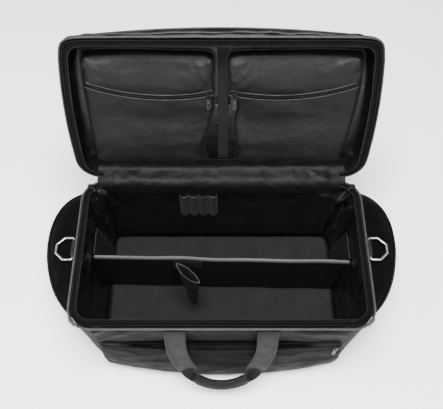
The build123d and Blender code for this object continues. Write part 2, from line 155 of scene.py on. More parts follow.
def bake(obj):
    """Puts the modifiers' result into the mesh."""
    graph = bpy.context.evaluated_depsgraph_get()
    graph.update()
    result = bpy.data.meshes.new_from_object(obj.evaluated_get(graph), depsgraph=graph)
    old = obj.data
    obj.modifiers.clear()
    obj.data = result
    bpy.data.meshes.remove(old)
    return shade_smooth(obj)


def subdivide(obj, levels=1):
    """Smooth subdivision, baked."""
    modifier = obj.modifiers.new("smooth", "SUBSURF")
    modifier.levels = modifier.render_levels = levels
    return bake(obj)


def cloth_sheet(name, grid, thickness, close_columns=False, levels=1):
    """A skin of cloth over a grid of points, thickened on the side its normals leave."""
    grid = np.asarray(grid)
    rows, columns = grid.shape[:2]
    obj = make_object(name, grid, grid_faces(rows, columns, close_columns=close_columns))
    solid = obj.modifiers.new("thickness", "SOLIDIFY")
    solid.thickness = thickness
    solid.offset = -1
    bake(obj)
    return subdivide(obj, levels) if levels else obj


def unit(rows):
    """Each row brought to length 1."""
    return rows / np.linalg.norm(rows, axis=1)[:, None]


def run_along(path):
    """Distance along a path at each of its points."""
    return np.concatenate([[0], np.cumsum(np.linalg.norm(np.diff(path, axis=0), axis=1))])


def at_stops(stops, run, rows):
    """Rows of values set along a path, read at some distances."""
    return np.stack([np.interp(stops, run, rows[:, i]) for i in range(rows.shape[1])], -1)


def frames_along(path, closed=False):
    """Tangents of a path of points."""
    path = np.asarray(path, float)
    if closed:
        step = np.roll(path, -1, 0) - np.roll(path, 1, 0)
    else:
        step = np.gradient(path, axis=0)
    return unit(step)


def sweep(name, path, sections, normals, closed=False, levels=0):
    """Sweeps closed 2-D sections, one for each path point, along a path; normals set their second axis."""
    path = np.asarray(path, float)
    tangents = frames_along(path, closed)
    normals = np.broadcast_to(np.asarray(normals, float), path.shape)
    side = unit(np.cross(tangents, normals))
    up = np.cross(side, tangents)
    sections = np.asarray(sections, float)
    if sections.ndim == 2:
        sections = np.broadcast_to(sections, (len(path),) + sections.shape)
    verts = path[:, None] + sections[..., :1] * side[:, None] + sections[..., 1:] * up[:, None]
    rows, columns = verts.shape[:2]
    faces = grid_faces(rows, columns, close_rows=closed, close_columns=True)
    if not closed:
        faces += [tuple(range(columns))[::-1], tuple((rows - 1) * columns + c for c in range(columns))]
    obj = make_object(name, verts, faces)
    return subdivide(obj, levels) if levels else obj


def circle(radius, count=10):
    """Round section."""
    turns = np.arange(count) * 2 * pi / count
    return np.stack([radius * np.cos(turns), radius * np.sin(turns)], -1)


def crinkled(path, radius, count=12):
    """Round sections along a path, puckered a little by their stitching."""
    swell = 0.86 + 0.13 * folds(path, 7 * MM, 17)
    return circle(radius, count)[None] * swell[:, None, None]


def strap_section(width, thickness):
    """Flat woven section with rounded edges."""
    x, y = width / 2, thickness / 2
    edge = min(y, 1.2 * MM)
    return np.array([(-x, -y * 0.4), (-x, y * 0.4), (-x + edge, y), (-x / 2, y), (0, y), (x / 2, y),
                     (x - edge, y), (x, y * 0.4), (x, -y * 0.4), (x - edge, -y), (x / 2, -y), (0, -y),
                     (-x / 2, -y), (-x + edge, -y)])


def spline(points, count):
    """Even points on a smooth curve through a few given ones."""
    p = np.asarray(points, float)
    padded = np.vstack([2 * p[0] - p[1], p, 2 * p[-1] - p[-2]])
    dense = []
    for i in range(len(p) - 1):
        a, b, c, d = padded[i:i + 4]
        for t in np.linspace(0, 1, 24, endpoint=False):
            dense.append(0.5 * (2 * b + (c - a) * t + (2 * a - 5 * b + 4 * c - d) * t * t
                                + (3 * b - a - 3 * c + d) * t ** 3))
    dense = np.array(dense + [p[-1]])
    return resample(dense, count)


def resample(path, count):
    """Points evenly spaced along a path."""
    path = np.asarray(path, float)
    run = run_along(path)
    return at_stops(np.linspace(0, run[-1], count), run, path)


def join(name, objects):
    """One mesh from several."""
    builder = bmesh.new()
    for obj in objects:
        builder.from_mesh(obj.data)
        mesh = obj.data
        bpy.data.objects.remove(obj)
        bpy.data.meshes.remove(mesh)
    mesh = bpy.data.meshes.new(name)
    builder.to_mesh(mesh)
    builder.free()
    return link(bpy.data.objects.new(name, mesh))


def close_holes(obj):
    """Caps a mesh's open ends and turns its faces outwards."""
    builder = bmesh.new()
    builder.from_mesh(obj.data)
    bmesh.ops.holes_fill(builder, edges=[e for e in builder.edges if e.is_boundary], sides=0)
    bmesh.ops.recalc_face_normals(builder, faces=builder.faces)
    builder.to_mesh(obj.data)
    builder.free()
    return shade_smooth(obj)


def ring_solid(name, rings):
    """Closed form through rings with equal counts."""
    grid = np.array(rings)
    obj = make_object(name, grid, grid_faces(grid.shape[0], grid.shape[1], close_columns=True))
    return close_holes(obj)


def surface_of(obj):
    """Ray-cast tree of a finished piece."""
    graph = bpy.context.evaluated_depsgraph_get()
    graph.update()
    return BVHTree.FromObject(obj, graph)


def lay_on(tree, points, direction, lift, reach=0.2):
    """Moves points along a direction onto a surface, then back off it by lift."""
    direction = Vector(direction).normalized()
    laid = []
    for p in np.asarray(points).reshape(-1, 3):
        hit = tree.ray_cast(Vector(p) - direction * reach, direction)[0]
        laid.append(tuple((hit if hit else Vector(p)) - direction * lift))
    return np.array(laid).reshape(np.asarray(points).shape)


def hug(tree, points, outwards, reach=0.03):
    """Moves each point along its own outward direction onto a surface."""
    laid = []
    for p, out in zip(points, outwards):
        hit = tree.ray_cast(Vector(p + out * reach), Vector(-out), 2 * reach)[0]
        laid.append(tuple(hit) if hit else tuple(p))
    return np.array(laid)


# ---------- outlines ----------

front_run, side_run, corner_run, back_run = 56, 30, 9, 28


def outline(width, depth, radius, whole=True):
    """Rounded rectangle with its outward normals, from the middle of the +y side round by -x.
    Without the +y side it is the open run that the zipper follows."""
    points, normals = [], []

    def straight(start, end, count, normal):
        for t in np.linspace(0, 1, count, endpoint=False):
            points.append((start[0] + (end[0] - start[0]) * t, start[1] + (end[1] - start[1]) * t))
            normals.append(normal)

    def bend(x, y, first):
        for t in np.linspace(0, 1, corner_run, endpoint=False):
            turn = first + t * pi / 2
            points.append((x + radius * cos(turn), y + radius * sin(turn)))
            normals.append((cos(turn), sin(turn)))

    x, y = width / 2 - radius, depth / 2 - radius
    if whole:
        straight((0, depth / 2), (-x, depth / 2), back_run, (0, 1))
    bend(-x, y, pi / 2)
    straight((-width / 2, y), (-width / 2, -y), side_run, (-1, 0))
    bend(-x, -y, pi)
    straight((-x, -depth / 2), (x, -depth / 2), front_run, (0, -1))
    bend(x, -y, 1.5 * pi)
    straight((width / 2, -y), (width / 2, y), side_run, (1, 0))
    bend(x, y, 0)
    if whole:
        straight((x, depth / 2), (0, depth / 2), back_run, (0, 1))
    else:
        points.append((x, depth / 2))
        normals.append((0, 1))
    return np.array(points), np.array(normals)


def tub_size(height):
    """The tub's width, depth and corner radius at a height."""
    share = height / rim_z
    return [base + share * (mouth - base) for base, mouth in
            ((base_width, mouth_width), (base_depth, mouth_depth), (base_radius, mouth_radius))]


def tub_outline(height, inset=0.0, whole=True):
    """The tub's outline at a height."""
    width, depth, radius = tub_size(height)
    return outline(width - 2 * inset, depth - 2 * inset, radius - inset, whole)


def rim_outline(inset=0.0, whole=False):
    """The mouth's outline."""
    return outline(mouth_width - 2 * inset, mouth_depth - 2 * inset, mouth_radius - inset, whole)


def with_depth(points, depth, hinge_side=1):
    """Adds a third coordinate to outline points; hinge_side -1 turns the open side to -y, as on the lid."""
    points = np.asarray(points)
    third = np.broadcast_to(np.asarray(depth, float), points.shape[:-1])
    return np.stack([points[..., 0], points[..., 1] * hinge_side, third], -1)


# ---------- materials ----------

def shader_tree(name):
    """A new node material, its tree and its shader."""
    material = bpy.data.materials.new(name)
    material.use_nodes = True
    tree = material.node_tree
    return material, tree, tree.nodes["Principled BSDF"]


def add_node(tree, kind, links=None, **settings):
    """A node with its settings; links maps an input to a value or to another node's output."""
    node = tree.nodes.new(kind)
    for key, value in settings.items():
        setattr(node, key, value)
    for key, value in (links or {}).items():
        if isinstance(value, bpy.types.NodeSocket):
            tree.links.new(value, node.inputs[key])
        else:
            node.inputs[key].default_value = value
    return node


def scaled_place(tree, scale):
    """Object coordinates stretched by a scale."""
    place = add_node(tree, "ShaderNodeTexCoord")
    return add_node(tree, "ShaderNodeMapping", {"Vector": place.outputs["Object"], "Scale": scale}).outputs[0]


def noise_map(tree, size, detail, low, high, stretch=(1, 1, 1)):
    """Noise whose middle range runs from low to high."""
    scale = tuple(s / size for s in stretch)
    texture = add_node(tree, "ShaderNodeTexNoise", {"Vector": scaled_place(tree, scale), "Scale": 1.0,
                                                    "Detail": detail})
    return add_node(tree, "ShaderNodeMapRange", {"Value": texture.outputs["Fac"], "From Min": 0.3,
                                                 "From Max": 0.7, "To Min": low, "To Max": high}).outputs[0]


def math_node(tree, operation, first, second):
    """One arithmetic step."""
    return add_node(tree, "ShaderNodeMath", {0: first, 1: second}, operation=operation).outputs[0]


def thread_bands(tree, pitch, axis, links):
    """Bands across one axis, a pitch apart."""
    return add_node(tree, "ShaderNodeTexWave", {"Vector": scaled_place(tree, (1, 1, 1)), "Scale": 0.314 / pitch,
                                                **links}, wave_type="BANDS", bands_direction=axis).outputs["Fac"]


def weave_height(tree, pitch):
    """Crossed threads: the sum of bands along the three axes."""
    total = None
    for axis in ("X", "Y", "Z"):
        wave = thread_bands(tree, pitch, axis, {"Distortion": 0.6, "Detail": 1.0})
        total = wave if total is None else math_node(tree, "ADD", total, wave)
    return total


def dye(tree, shader, colour, level):
    """Base colour at a varying level."""
    tint = add_node(tree, "ShaderNodeVectorMath", {0: tuple(colour), "Scale": level}, operation="SCALE").outputs[0]
    tree.links.new(tint, shader.inputs["Base Color"])


def set_inputs(shader, **values):
    """Fixed values of a shader's inputs, whose names are given with _ for a space."""
    for key, value in values.items():
        shader.inputs[key.replace("_", " ")].default_value = value


def relief(tree, shader, *layers):
    """Bump layers, coarse ones first, each a height, a strength and a distance."""
    under = {}
    for height, strength, distance in layers:
        bump = add_node(tree, "ShaderNodeBump", {"Height": height, "Strength": strength, "Distance": distance,
                                                 **under}).outputs[0]
        under = {"Normal": bump}
    tree.links.new(bump, shader.inputs["Normal"])


def cloth_material(name, colour, pitch=0.8 * MM, roughness=0.7, sheen=0.25, weave=0.35, crumple=0.25,
                   shade=0.25, coat=0.0, wear=0.0, gloss=0.12):
    """Woven cloth: threads, soft creases, patchy shade and a sheen."""
    material, tree, shader = shader_tree(name)
    patches = noise_map(tree, 60 * MM, 4, 1 - shade, 1 + shade)
    threads = weave_height(tree, pitch)
    grain = add_node(tree, "ShaderNodeMapRange", {"Value": threads, "From Min": 0.6, "From Max": 2.4,
                                                  "To Min": 0.86, "To Max": 1.14}).outputs[0]
    level = math_node(tree, "MULTIPLY", patches, grain)
    if wear:
        scuffs = noise_map(tree, 9 * MM, 6, 1.0, 1 + wear)
        level = math_node(tree, "MULTIPLY", level, scuffs)
    dye(tree, shader, colour, level)
    tree.links.new(noise_map(tree, 35 * MM, 3, roughness - 0.08, roughness + 0.08), shader.inputs["Roughness"])
    set_inputs(shader, Specular_IOR_Level=gloss, Sheen_Weight=sheen, Sheen_Roughness=0.45, Coat_Weight=coat,
               Coat_Roughness=0.4)
    creases = noise_map(tree, 14 * MM, 5, 0.0, 1.0)
    relief(tree, shader, (creases, crumple, 2.5 * MM), (threads, weave, 0.35 * MM))
    return material


def webbing_material(name, colour, across, roughness=0.6):
    """Ribbed webbing: ribs across one axis and fine threads."""
    material, tree, shader = shader_tree(name)
    ribs = thread_bands(tree, 2.2 * MM, across, {"Distortion": 0.3})
    threads = weave_height(tree, 0.7 * MM)
    patches = noise_map(tree, 25 * MM, 4, 0.82, 1.18)
    lift = add_node(tree, "ShaderNodeMapRange", {"Value": ribs, "To Min": 0.8, "To Max": 1.15}).outputs[0]
    level = math_node(tree, "MULTIPLY", patches, lift)
    dye(tree, shader, colour, level)
    tree.links.new(noise_map(tree, 12 * MM, 3, roughness - 0.08, roughness + 0.1), shader.inputs["Roughness"])
    set_inputs(shader, Specular_IOR_Level=0.15, Sheen_Weight=0.02)
    relief(tree, shader, (ribs, 0.5, 0.5 * MM), (threads, 0.3, 0.2 * MM))
    return material


def metal_material(name, colour, roughness, scratch):
    """Metal with fine scratches and uneven polish."""
    material, tree, shader = shader_tree(name)
    dye(tree, shader, colour, noise_map(tree, 6 * MM, 5, 0.85, 1.08))
    set_inputs(shader, Metallic=1.0)
    tree.links.new(noise_map(tree, 3 * MM, 4, roughness - 0.07, roughness + 0.1), shader.inputs["Roughness"])
    relief(tree, shader, (noise_map(tree, 1.2 * MM, 6, 0, 1, (1, 6, 6)), scratch, 0.1 * MM))
    return material


outer_cloth = cloth_material("outer_nylon", (0.0021, 0.0022, 0.0027), pitch=0.9 * MM, roughness=0.62, sheen=0.008,
                             crumple=0.45, shade=0.3, wear=0.15, gloss=0.06)
end_cloth = cloth_material("end_pocket_polyester", (0.0010, 0.0009, 0.0013), pitch=0.7 * MM, roughness=0.85,
                           sheen=0.004, crumple=0.35, shade=0.3, gloss=0.04)
lining_cloth = cloth_material("coated_lining", (0.0024, 0.0029, 0.0030), pitch=0.6 * MM, roughness=0.33, sheen=0.0,
                              weave=0.06, crumple=0.15, shade=0.3, gloss=0.42)
flap_cloth = cloth_material("flap_nylon", (0.0018, 0.0022, 0.0023), pitch=0.6 * MM, roughness=0.45, sheen=0.01,
                            weave=0.2, crumple=0.2, shade=0.3, gloss=0.09)
pocket_cloth = cloth_material("pocket_nylon", (0.0048, 0.0055, 0.0056), pitch=0.6 * MM, roughness=0.44, sheen=0.008,
                              weave=0.2, crumple=0.3, shade=0.18, gloss=0.17)
board_cloth = cloth_material("board_cover", (0.0085, 0.0089, 0.0096), pitch=0.8 * MM, roughness=0.8, sheen=0.01,
                             crumple=0.06, shade=0.14, gloss=0.1)
binding_cloth = cloth_material("binding_tape", (0.0480, 0.0500, 0.0520), pitch=0.7 * MM, roughness=0.55, sheen=0.05,
                               shade=0.15, gloss=0.35)
elastic_cloth = cloth_material("woven_elastic", (0.0065, 0.0072, 0.0070), pitch=0.9 * MM, roughness=0.34, sheen=0.03,
                               weave=0.3, shade=0.15, gloss=0.8)
piping_cloth = cloth_material("piping_cover", (0.0085, 0.0089, 0.0096), pitch=0.7 * MM, roughness=0.45, sheen=0.02,
                              crumple=0.4, shade=0.3, gloss=0.4, coat=0.1)
tape_cloth = cloth_material("zipper_tape", (0.0013, 0.0014, 0.0016), pitch=0.6 * MM, roughness=0.6, sheen=0.01,
                            weave=0.5, crumple=0.6, shade=0.25, gloss=0.03)
strap_web = webbing_material("strap_webbing", (0.0058, 0.0060, 0.0069), "X")
grip_web = webbing_material("grip_webbing", (0.0034, 0.0036, 0.0042), "X")
tab_web = webbing_material("tab_webbing", (0.0055, 0.0056, 0.0064), "Y")
coil_nylon = cloth_material("nylon_coil", (0.0050, 0.0052, 0.0060), pitch=0.5 * MM, roughness=0.35, sheen=0.0,
                            weave=0.1, crumple=0.1, shade=0.1, gloss=0.35)
thread = cloth_material("stitching_thread", (0.0176, 0.0184, 0.0192), pitch=0.4 * MM, roughness=0.6, sheen=0.01,
                        weave=0.2, crumple=0.1)
ring_steel = metal_material("ring_steel", (0.36, 0.36, 0.37), 0.28, 0.25)
pull_steel = metal_material("pull_nickel", (0.0680, 0.0680, 0.0720), 0.38, 0.3)
slider_zinc = metal_material("slider_zinc", (0.0210, 0.0210, 0.0240), 0.45, 0.3)


def finish_piece(obj, material, body, slot, *nodes):
    """Gives a piece its material, hangs it on its body when the body is a name (else bakes its place into its mesh)
    and hides the CAD nodes it stands for; slot is not used.
    """
    obj.data.materials.clear()
    obj.data.materials.append(material)
    if isinstance(body, str):
        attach(obj, body)
    else:
        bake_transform(obj)
    if nodes:
        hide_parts(*nodes)
    return obj


# ---------- stitching and zippers, laid along a path ----------

def stitches(path, normal, pitch=4 * MM, length=2.8 * MM, radius=0.35 * MM):
    """Short thread stitches along a path, as one mesh's points and faces."""
    path = np.asarray(path, float)
    run = run_along(path)
    count = max(2, int(run[-1] / pitch))
    normals = np.broadcast_to(np.asarray(normal, float), path.shape)
    verts, faces = [], []
    ring = circle(1.0, 5)
    for k in range(count):
        start = (k + 0.15) * run[-1] / count
        stops = start + np.linspace(0, 1, 4) * length
        centre, up = at_stops(stops, run, path), at_stops(stops, run, normals)
        heading = frames_along(centre)
        side = np.cross(heading, up)
        side /= np.linalg.norm(side, axis=1)[:, None] + 1e-12
        size = radius * np.array([0.5, 1.0, 1.0, 0.5])
        first = len(verts)
        for i in range(4):
            lift = up[i] * radius * (0.2, 1.0, 1.0, 0.2)[i]
            verts.extend(centre[i] + lift + side[i] * size[i] * a + up[i] * size[i] * b for a, b in ring)
        faces += grid_faces(4, 5, close_columns=True, start=first)
        faces += [tuple(first + i for i in (4, 3, 2, 1, 0)), tuple(first + 15 + i for i in range(5))]
    return verts, faces


def stitch_lines(name, lines, body):
    """One piece of thread made of several stitched lines, each a path and its normal."""
    verts, faces = [], []
    for path, normal in lines:
        more, quads = stitches(path, normal)
        faces += [tuple(len(verts) + i for i in quad) for quad in quads]
        verts += more
    return finish_piece(make_object(name, verts, faces), thread, body, "zipper_tape")


def zipper_coil(name, path, normals, radius=1.1 * MM, pitch=1.7 * MM, squash=0.75):
    """Nylon coil: a flattened helix wound along a path."""
    path = np.asarray(path, float)
    run = run_along(path)
    per_turn = 7
    count = int(run[-1] / pitch) * per_turn
    stops = np.linspace(0, run[-1], count)
    centre = at_stops(stops, run, path)
    up = unit(at_stops(stops, run, np.broadcast_to(np.asarray(normals, float), path.shape)))
    side = np.cross(frames_along(centre), up)
    turns = np.arange(count) * 2 * pi / per_turn
    line = centre + radius * (np.cos(turns)[:, None] * side + squash * np.sin(turns)[:, None] * up)
    return sweep(name, line, circle(0.42 * MM, 4), unit(line - centre))


def pocket_zipper(name, row, edges, out, body, node, cloth, thickness, coil_lift, welt, sewn=None):
    """A pocket's zipper, from row(offset across it, lift off the cloth), both in millimetres. edges are the
    tape's rows; welt is offset, lift, radius, cloth and slot; sewn is the stitching's offset and lift."""
    tape = cloth_sheet(name.format("tape"), np.array([row(*edge) for edge in edges]), thickness)
    finish_piece(tape, cloth, body, "zipper_tape", node)
    finish_piece(zipper_coil(name.format("coil"), row(0, coil_lift), out), coil_nylon, body, "zipper_tape")
    offset, lift, radius, welt_cloth, slot = welt
    welts = [sweep(f"welt_{hand}", row(hand * offset, lift), circle(radius, 8), out) for hand in (1, -1)]
    finish_piece(join(name.format("welts"), welts), welt_cloth, body, slot)
    if sewn:
        stitch_lines(name.format("stitching"), [(row(hand * sewn[0], sewn[1]), out) for hand in (1, -1)], body)


# ---------- soft forms by cloth simulation ----------

cloth_steps = 20


def puff(obj, pinned, pressure=4.0, voxel=5.5 * MM, cap=10 * MM, seed=1):
    """Swells a closed soft form. pinned tells, from a point, what is sewn down; cap limits the swelling."""
    remesh = obj.modifiers.new("even", "REMESH")
    remesh.mode = "VOXEL"
    remesh.voxel_size = voxel
    bake(obj)
    start = np.array([v.co for v in obj.data.vertices])
    wrinkle = folds(start, 45 * MM, seed)[:, None] * 0.8 * MM
    normals = np.array([v.normal for v in obj.data.vertices])
    start = start + normals * wrinkle
    obj.data.vertices.foreach_set("co", start.ravel())
    held = obj.vertex_groups.new(name="held")
    held.add([i for i, p in enumerate(start) if pinned(p)], 1.0, "REPLACE")
    cloth = obj.modifiers.new("cloth", "CLOTH")
    rules = cloth.settings
    rules.quality = 6
    rules.mass = 0.25
    rules.tension_stiffness = rules.compression_stiffness = 12
    rules.shear_stiffness = 6
    rules.bending_stiffness = 0.4
    rules.use_pressure = True
    rules.uniform_pressure_force = pressure
    rules.effector_weights.gravity = 0
    rules.vertex_group_mass = "held"
    scene = bpy.context.scene
    for step in range(1, cloth_steps + 1):
        scene.frame_set(step)
    bake(obj)
    scene.frame_set(1)
    moved = np.array([v.co for v in obj.data.vertices]) - start
    far = np.linalg.norm(moved, axis=1)[:, None]
    moved *= np.minimum(1, cap / np.maximum(far, 1e-9))
    obj.data.vertices.foreach_set("co", (start + moved).ravel())
    obj.vertex_groups.clear()
    return obj


def relax(obj, factor=0.5, repeat=3):
    """Evens a mesh out."""
    smooth = obj.modifiers.new("relax", "SMOOTH")
    smooth.factor = factor
    smooth.iterations = repeat
    return bake(obj)


def sculpt(obj, shape):
    """Moves each point by shape(points, normals)."""
    points = np.array([v.co for v in obj.data.vertices])
    normals = np.array([v.normal for v in obj.data.vertices])
    obj.data.vertices.foreach_set("co", (points + shape(points, normals)).ravel())
    obj.data.update()
    return obj


def full_pocket(obj, pinned, relief_of, material, body, slot, node, **swelling):
    """Swells a pocket, shapes its face and finishes it."""
    puff(obj, pinned, **swelling)
    sculpt(obj, relief_of)
    relax(obj, 0.5, 2)
    subdivide(obj)
    finish_piece(obj, material, body, slot, node)


# ---------- tub walls, base and lining ----------

first_left = back_run
first_front = first_left + 2 * corner_run + side_run
first_right = first_front + front_run
first_back = first_right + 2 * corner_run + side_run
ring_count = first_back + back_run


def wall_grid(indices, levels, inset, shape):
    """Points on the tub's wall, level by level, moved outwards by shape(points)."""
    rows = []
    for height in levels:
        points, normals = tub_outline(height, inset)
        p = with_depth(points[indices], height)
        rows.append(p + with_depth(normals[indices], 0) * shape(p)[:, None])
    return np.array(rows)


def band(value, low, high, soft):
    """1 between low and high, falling to 0 over a soft edge on both sides."""
    return smooth_step(value, low - soft, low) * (1 - smooth_step(value, high, high + soft))


def front_shape(p):
    """Slack of the front wall above the pocket, with long diagonal folds towards the corners."""
    upper = band(p[:, 2], 0.160, 0.200, 0.022)
    slack = 3.2 * MM * upper * (0.5 + 0.5 * folds(p, (0.13, 0.1, 0.09), 4))
    slant = np.stack([p[:, 0] + np.sign(p[:, 0]) * p[:, 2] * 1.4, p[:, 1], p[:, 2] * 0.3], -1)
    outer = smooth_step(np.abs(p[:, 0]), 0.10, 0.17)
    return slack + 6.0 * MM * upper * outer * ridges(slant, 0.055, 9)


def end_shape(p):
    """Slack of the end walls, taken up round the corners."""
    return 1.4 * MM * folds(p, (0.05, 0.07, 0.12), 12) * band(p[:, 2], 0.03, 0.19, 0.02)


def back_shape(p):
    """Slack of the back wall, gathered below the hinge."""
    lower = band(p[:, 2], 0.03, 0.16, 0.03)
    return (2.4 * MM * folds(p, (0.12, 0.1, 0.07), 21) + 1.5 * MM * ridges(p, (0.10, 0.1, 0.05), 23)) * lower


wall_levels = np.linspace(2 * MM, rim_z - 3 * MM, 34)
front_columns = np.arange(first_front, first_right + 1)
left_columns = np.arange(first_left, first_front + 1)
right_columns = np.arange(first_right, first_back + 1)
back_columns = np.concatenate([np.arange(first_back, ring_count), np.arange(0, first_left + 1)])
cloth_thickness = 1.3 * MM
walls = {}
for word, columns, shape in (("front", front_columns, front_shape), ("left_end", left_columns, end_shape),
                             ("right_end", right_columns, end_shape), ("back", back_columns, back_shape)):
    walls[word] = cloth_sheet(f"{word}_wall_cloth", wall_grid(columns, wall_levels, 0, shape), cloth_thickness)
    finish_piece(walls[word], outer_cloth, "bag", "outer_fabric", f"{word}_panel")


def plate(name, points, normals, profile, shape=None):
    """A closed pad over an outline; profile lists (share of the outline, inset, height) up one side and down
    the other."""
    grid = np.array([with_depth(points * share - normals * inset, height) for share, inset, height in profile])
    if shape:
        grid[..., 2] += shape(grid)
    return ring_solid(name, grid)


shares = (0.03, 0.3, 0.55, 0.75, 0.9, 0.97)
points, normals = tub_outline(2 * MM)
profile = [(share, 0, 0) for share in shares] + [(1, 1.4 * MM, 0), (1, 0.2 * MM, 0.9 * MM), (1, 0, 2.4 * MM),
                                                 (1, 1.4 * MM, 3.6 * MM)]
profile += [(share, 0, 3.8 * MM) for share in shares[::-1]]
finish_piece(plate("bottom_cloth", points, normals, profile), outer_cloth, "bag", "outer_fabric", "bottom_panel")

board_half = (base_high - base_low) / 2
points, normals = outline(2 * board_half.x, 2 * board_half.y, 9 * MM)
low, high = base_low.z, base_high.z
profile = [(share, 0, low) for share in shares] + [(1, 0.9 * MM, low), (1, 0, low + 0.8 * MM),
                                                   (1, 0, high - 0.7 * MM), (1, 0.8 * MM, high)]
profile += [(0.985, 0, high + 0.1 * MM)] + [(share, 0, high) for share in shares[::-1]]
base_cover = plate("base_board_cover", points, normals, profile,
                   shape=lambda grid: 0.35 * MM * folds(grid, 0.09, 31) * (grid[..., 2] > low + 2 * MM))
finish_piece(base_cover, board_cloth, "bag", "board_cloth", "base_board")


def lining_shape(p):
    """Loose lining: gathers under the rim, folds running down from the corners, flat behind the divider."""
    x, y, z = p[:, 0], p[:, 1], p[:, 2]
    corner = smooth_step(np.abs(x), 0.17, 0.25) * smooth_step(np.abs(y), 0.04, 0.12)
    back = corner * (y > 0)
    fan = np.stack([x + (0.235 - np.abs(x)) * 0.2, y, (rim_z - z) * 0.25], -1)
    gathers = 3.2 * MM * ridges(p, (0.014, 0.014, 0.05), 5) * smooth_step(z, 0.170, 0.205)
    slant = np.stack([x + z * 0.7 * np.sign(x), y + z * 0.7, z * 0.5], -1)
    slack = (5.5 * MM * (0.4 + 0.6 * folds(slant, (0.05, 0.05, 0.09), 6)) + 4.0 * MM * ridges(slant, 0.045, 19)) \
        * band(z, 0.04, 0.19, 0.03)
    hung = 15.0 * MM * back * ridges(fan, 0.030, 8) * band(z, 0.06, 0.2, 0.035)
    front = 9.0 * MM * corner * (y < 0) * ridges(fan, 0.032, 15) * band(z, 0.03, 0.17, 0.03)
    beside = smooth_step(np.abs(x), 0.20, 0.23) * band(y, 0.008, 0.104, 0.012) * (1 - smooth_step(z, 0.152, 0.17))
    behind_wings = 1 - 0.95 * beside
    pens = 1 - 0.9 * band(x, -0.092, -0.002, 0.012) * (y > 0.1) * band(z, 0.108, 0.204, 0.008)
    foot = smooth_step(z, 0.012, 0.04)
    return -(gathers + (slack + hung + front) * foot) * behind_wings * pens


lining_inset = wall + 0.9 * MM
lining_levels = np.concatenate([np.linspace(rim_z - 0.8 * MM, 0.17, 12), np.linspace(0.165, 8 * MM, 26)])
lining_columns = np.arange(ring_count)
grid = wall_grid(lining_columns, lining_levels, lining_inset, lining_shape)
lining = cloth_sheet("tub_lining", grid, 0.8 * MM, close_columns=True)
finish_piece(lining, lining_cloth, "bag", "lining_fabric", "body_lining")

# the corner seams of the lining, bound and left hanging a little free
for side, y, low, word in ((1, 0.128, 0.10, "right"), (-1, 0.130, 0.09, "left")):
    path = spline([(side * 0.2485, y, 0.205), (side * 0.2470, y - 0.001, 0.17), (side * 0.2450, y - 0.002, 0.135),
                   (side * 0.2430, y - 0.003, low)], 24)
    seam = sweep(f"{word}_corner_seam", path, circle(0.9 * MM, 8) * (1.0, 1.6), (side * -0.7, -0.7, 0))
    finish_piece(seam, piping_cloth, "bag", "lining_fabric")


# ---------- rim of the tub ----------

def hinge_trim(points):
    """Extends an open run's ends along the back edge towards the middle, up to the hinge fabric."""
    first = points[:1] * (hinge_reach / abs(points[0, 0]), 1, 1)
    last = points[-1:] * (hinge_reach / abs(points[-1, 0]), 1, 1)
    return np.vstack([first, points, last])


def rim_band(name, place, side, base, bow=np.array):
    """Zipper tape of a rim, as a waved band with its inner edge a little loose."""
    rows = []
    for inset, lift, wave in ((0.4, 0.2, 0.5), (3, 1.0, 0.5), (6, 1.25, 0.7), (9, 1.2, 1.2), (12, 0.9, 1.7),
                              (13.6, 0.7, 1.9)):
        points, normals = rim_outline(inset * MM)
        p = bow(with_depth(points, base + side * lift * MM, side))
        p = p + with_depth(normals, 0, side) * (wave * MM * 0.6 * folds(p, 0.03, 41))[:, None]
        p[:, 2] += side * wave * MM * 0.7 * folds(p, 0.024, 43)
        rows.append(place(hinge_trim(p)))
    return cloth_sheet(name, np.array(rows)[::side], 0.9 * MM)


tape = rim_band("rim_tape", in_bag, 1, rim_z)
finish_piece(tape, tape_cloth, "bag", "zipper_tape", "rim_zipper")


def along_rim(inset, base, side, bow, place, steps=620):
    """Even points along a rim at an inset."""
    return place(resample(hinge_trim(bow(with_depth(rim_outline(inset * MM)[0], base, side))), steps))


def rim_details(word, body, place, side, base, up, bow=np.array):
    """Coil and stitching that run round a rim."""
    coil = zipper_coil(f"{word}_coil", along_rim(12.4, base + side * 1.9 * MM, side, bow, place, 420), up)
    finish_piece(coil, coil_nylon, body, "zipper_tape")
    lines = [(along_rim(inset, base + side * 1.25 * MM, side, bow, place), up) for inset in (2.2, 8.6)]
    stitch_lines(f"{word}_stitching", lines, body)


def rim_piping(name, body, place, side, base, up, wave, seed, node, bow=np.array):
    """Corded edge that runs round a rim."""
    grow = 2 * piping_radius + 0.2 * MM
    points, _ = outline(mouth_width + grow, mouth_depth + grow, mouth_radius + piping_radius, whole=False)
    path = resample(bow(hinge_trim(with_depth(points, base - side * piping_drop, side))), 520)
    path[:, 2] += wave * MM * folds(path, 0.06, seed)
    tube = sweep(name, place(path), crinkled(path, piping_radius), up)
    finish_piece(tube, piping_cloth, body, "piping", node)


rim_details("rim", "bag", in_bag, 1, rim_z, (0, 0, 1))
rim_piping("rim_piping_tube", "bag", in_bag, 1, rim_z, (0, 0, 1), 0.5, 51, "rim_piping")


# ---------- hinge fabric, outside and inside ----------

hinge_start = (0, 0.150, 0.222)
hinge_end = (0, 0.158, 0.240)
across_hinge = np.linspace(-0.245, 0.245, 80)


def drape(name, stations, thickness, shape, material, slot, *nodes):
    """Cloth across the hinge: a smooth profile of stations (y, z), repeated along x and moved by shape."""
    profile = spline([(0, y, z) for y, z in stations], 30)
    grid = np.repeat(profile[:, None], len(across_hinge), 1)
    grid[..., 0] = across_hinge[None]
    grid = grid + shape(grid)
    obj = cloth_sheet(name, grid, thickness)
    return finish_piece(obj, material, ("bag", "lid", hinge_start, hinge_end), slot, *nodes)


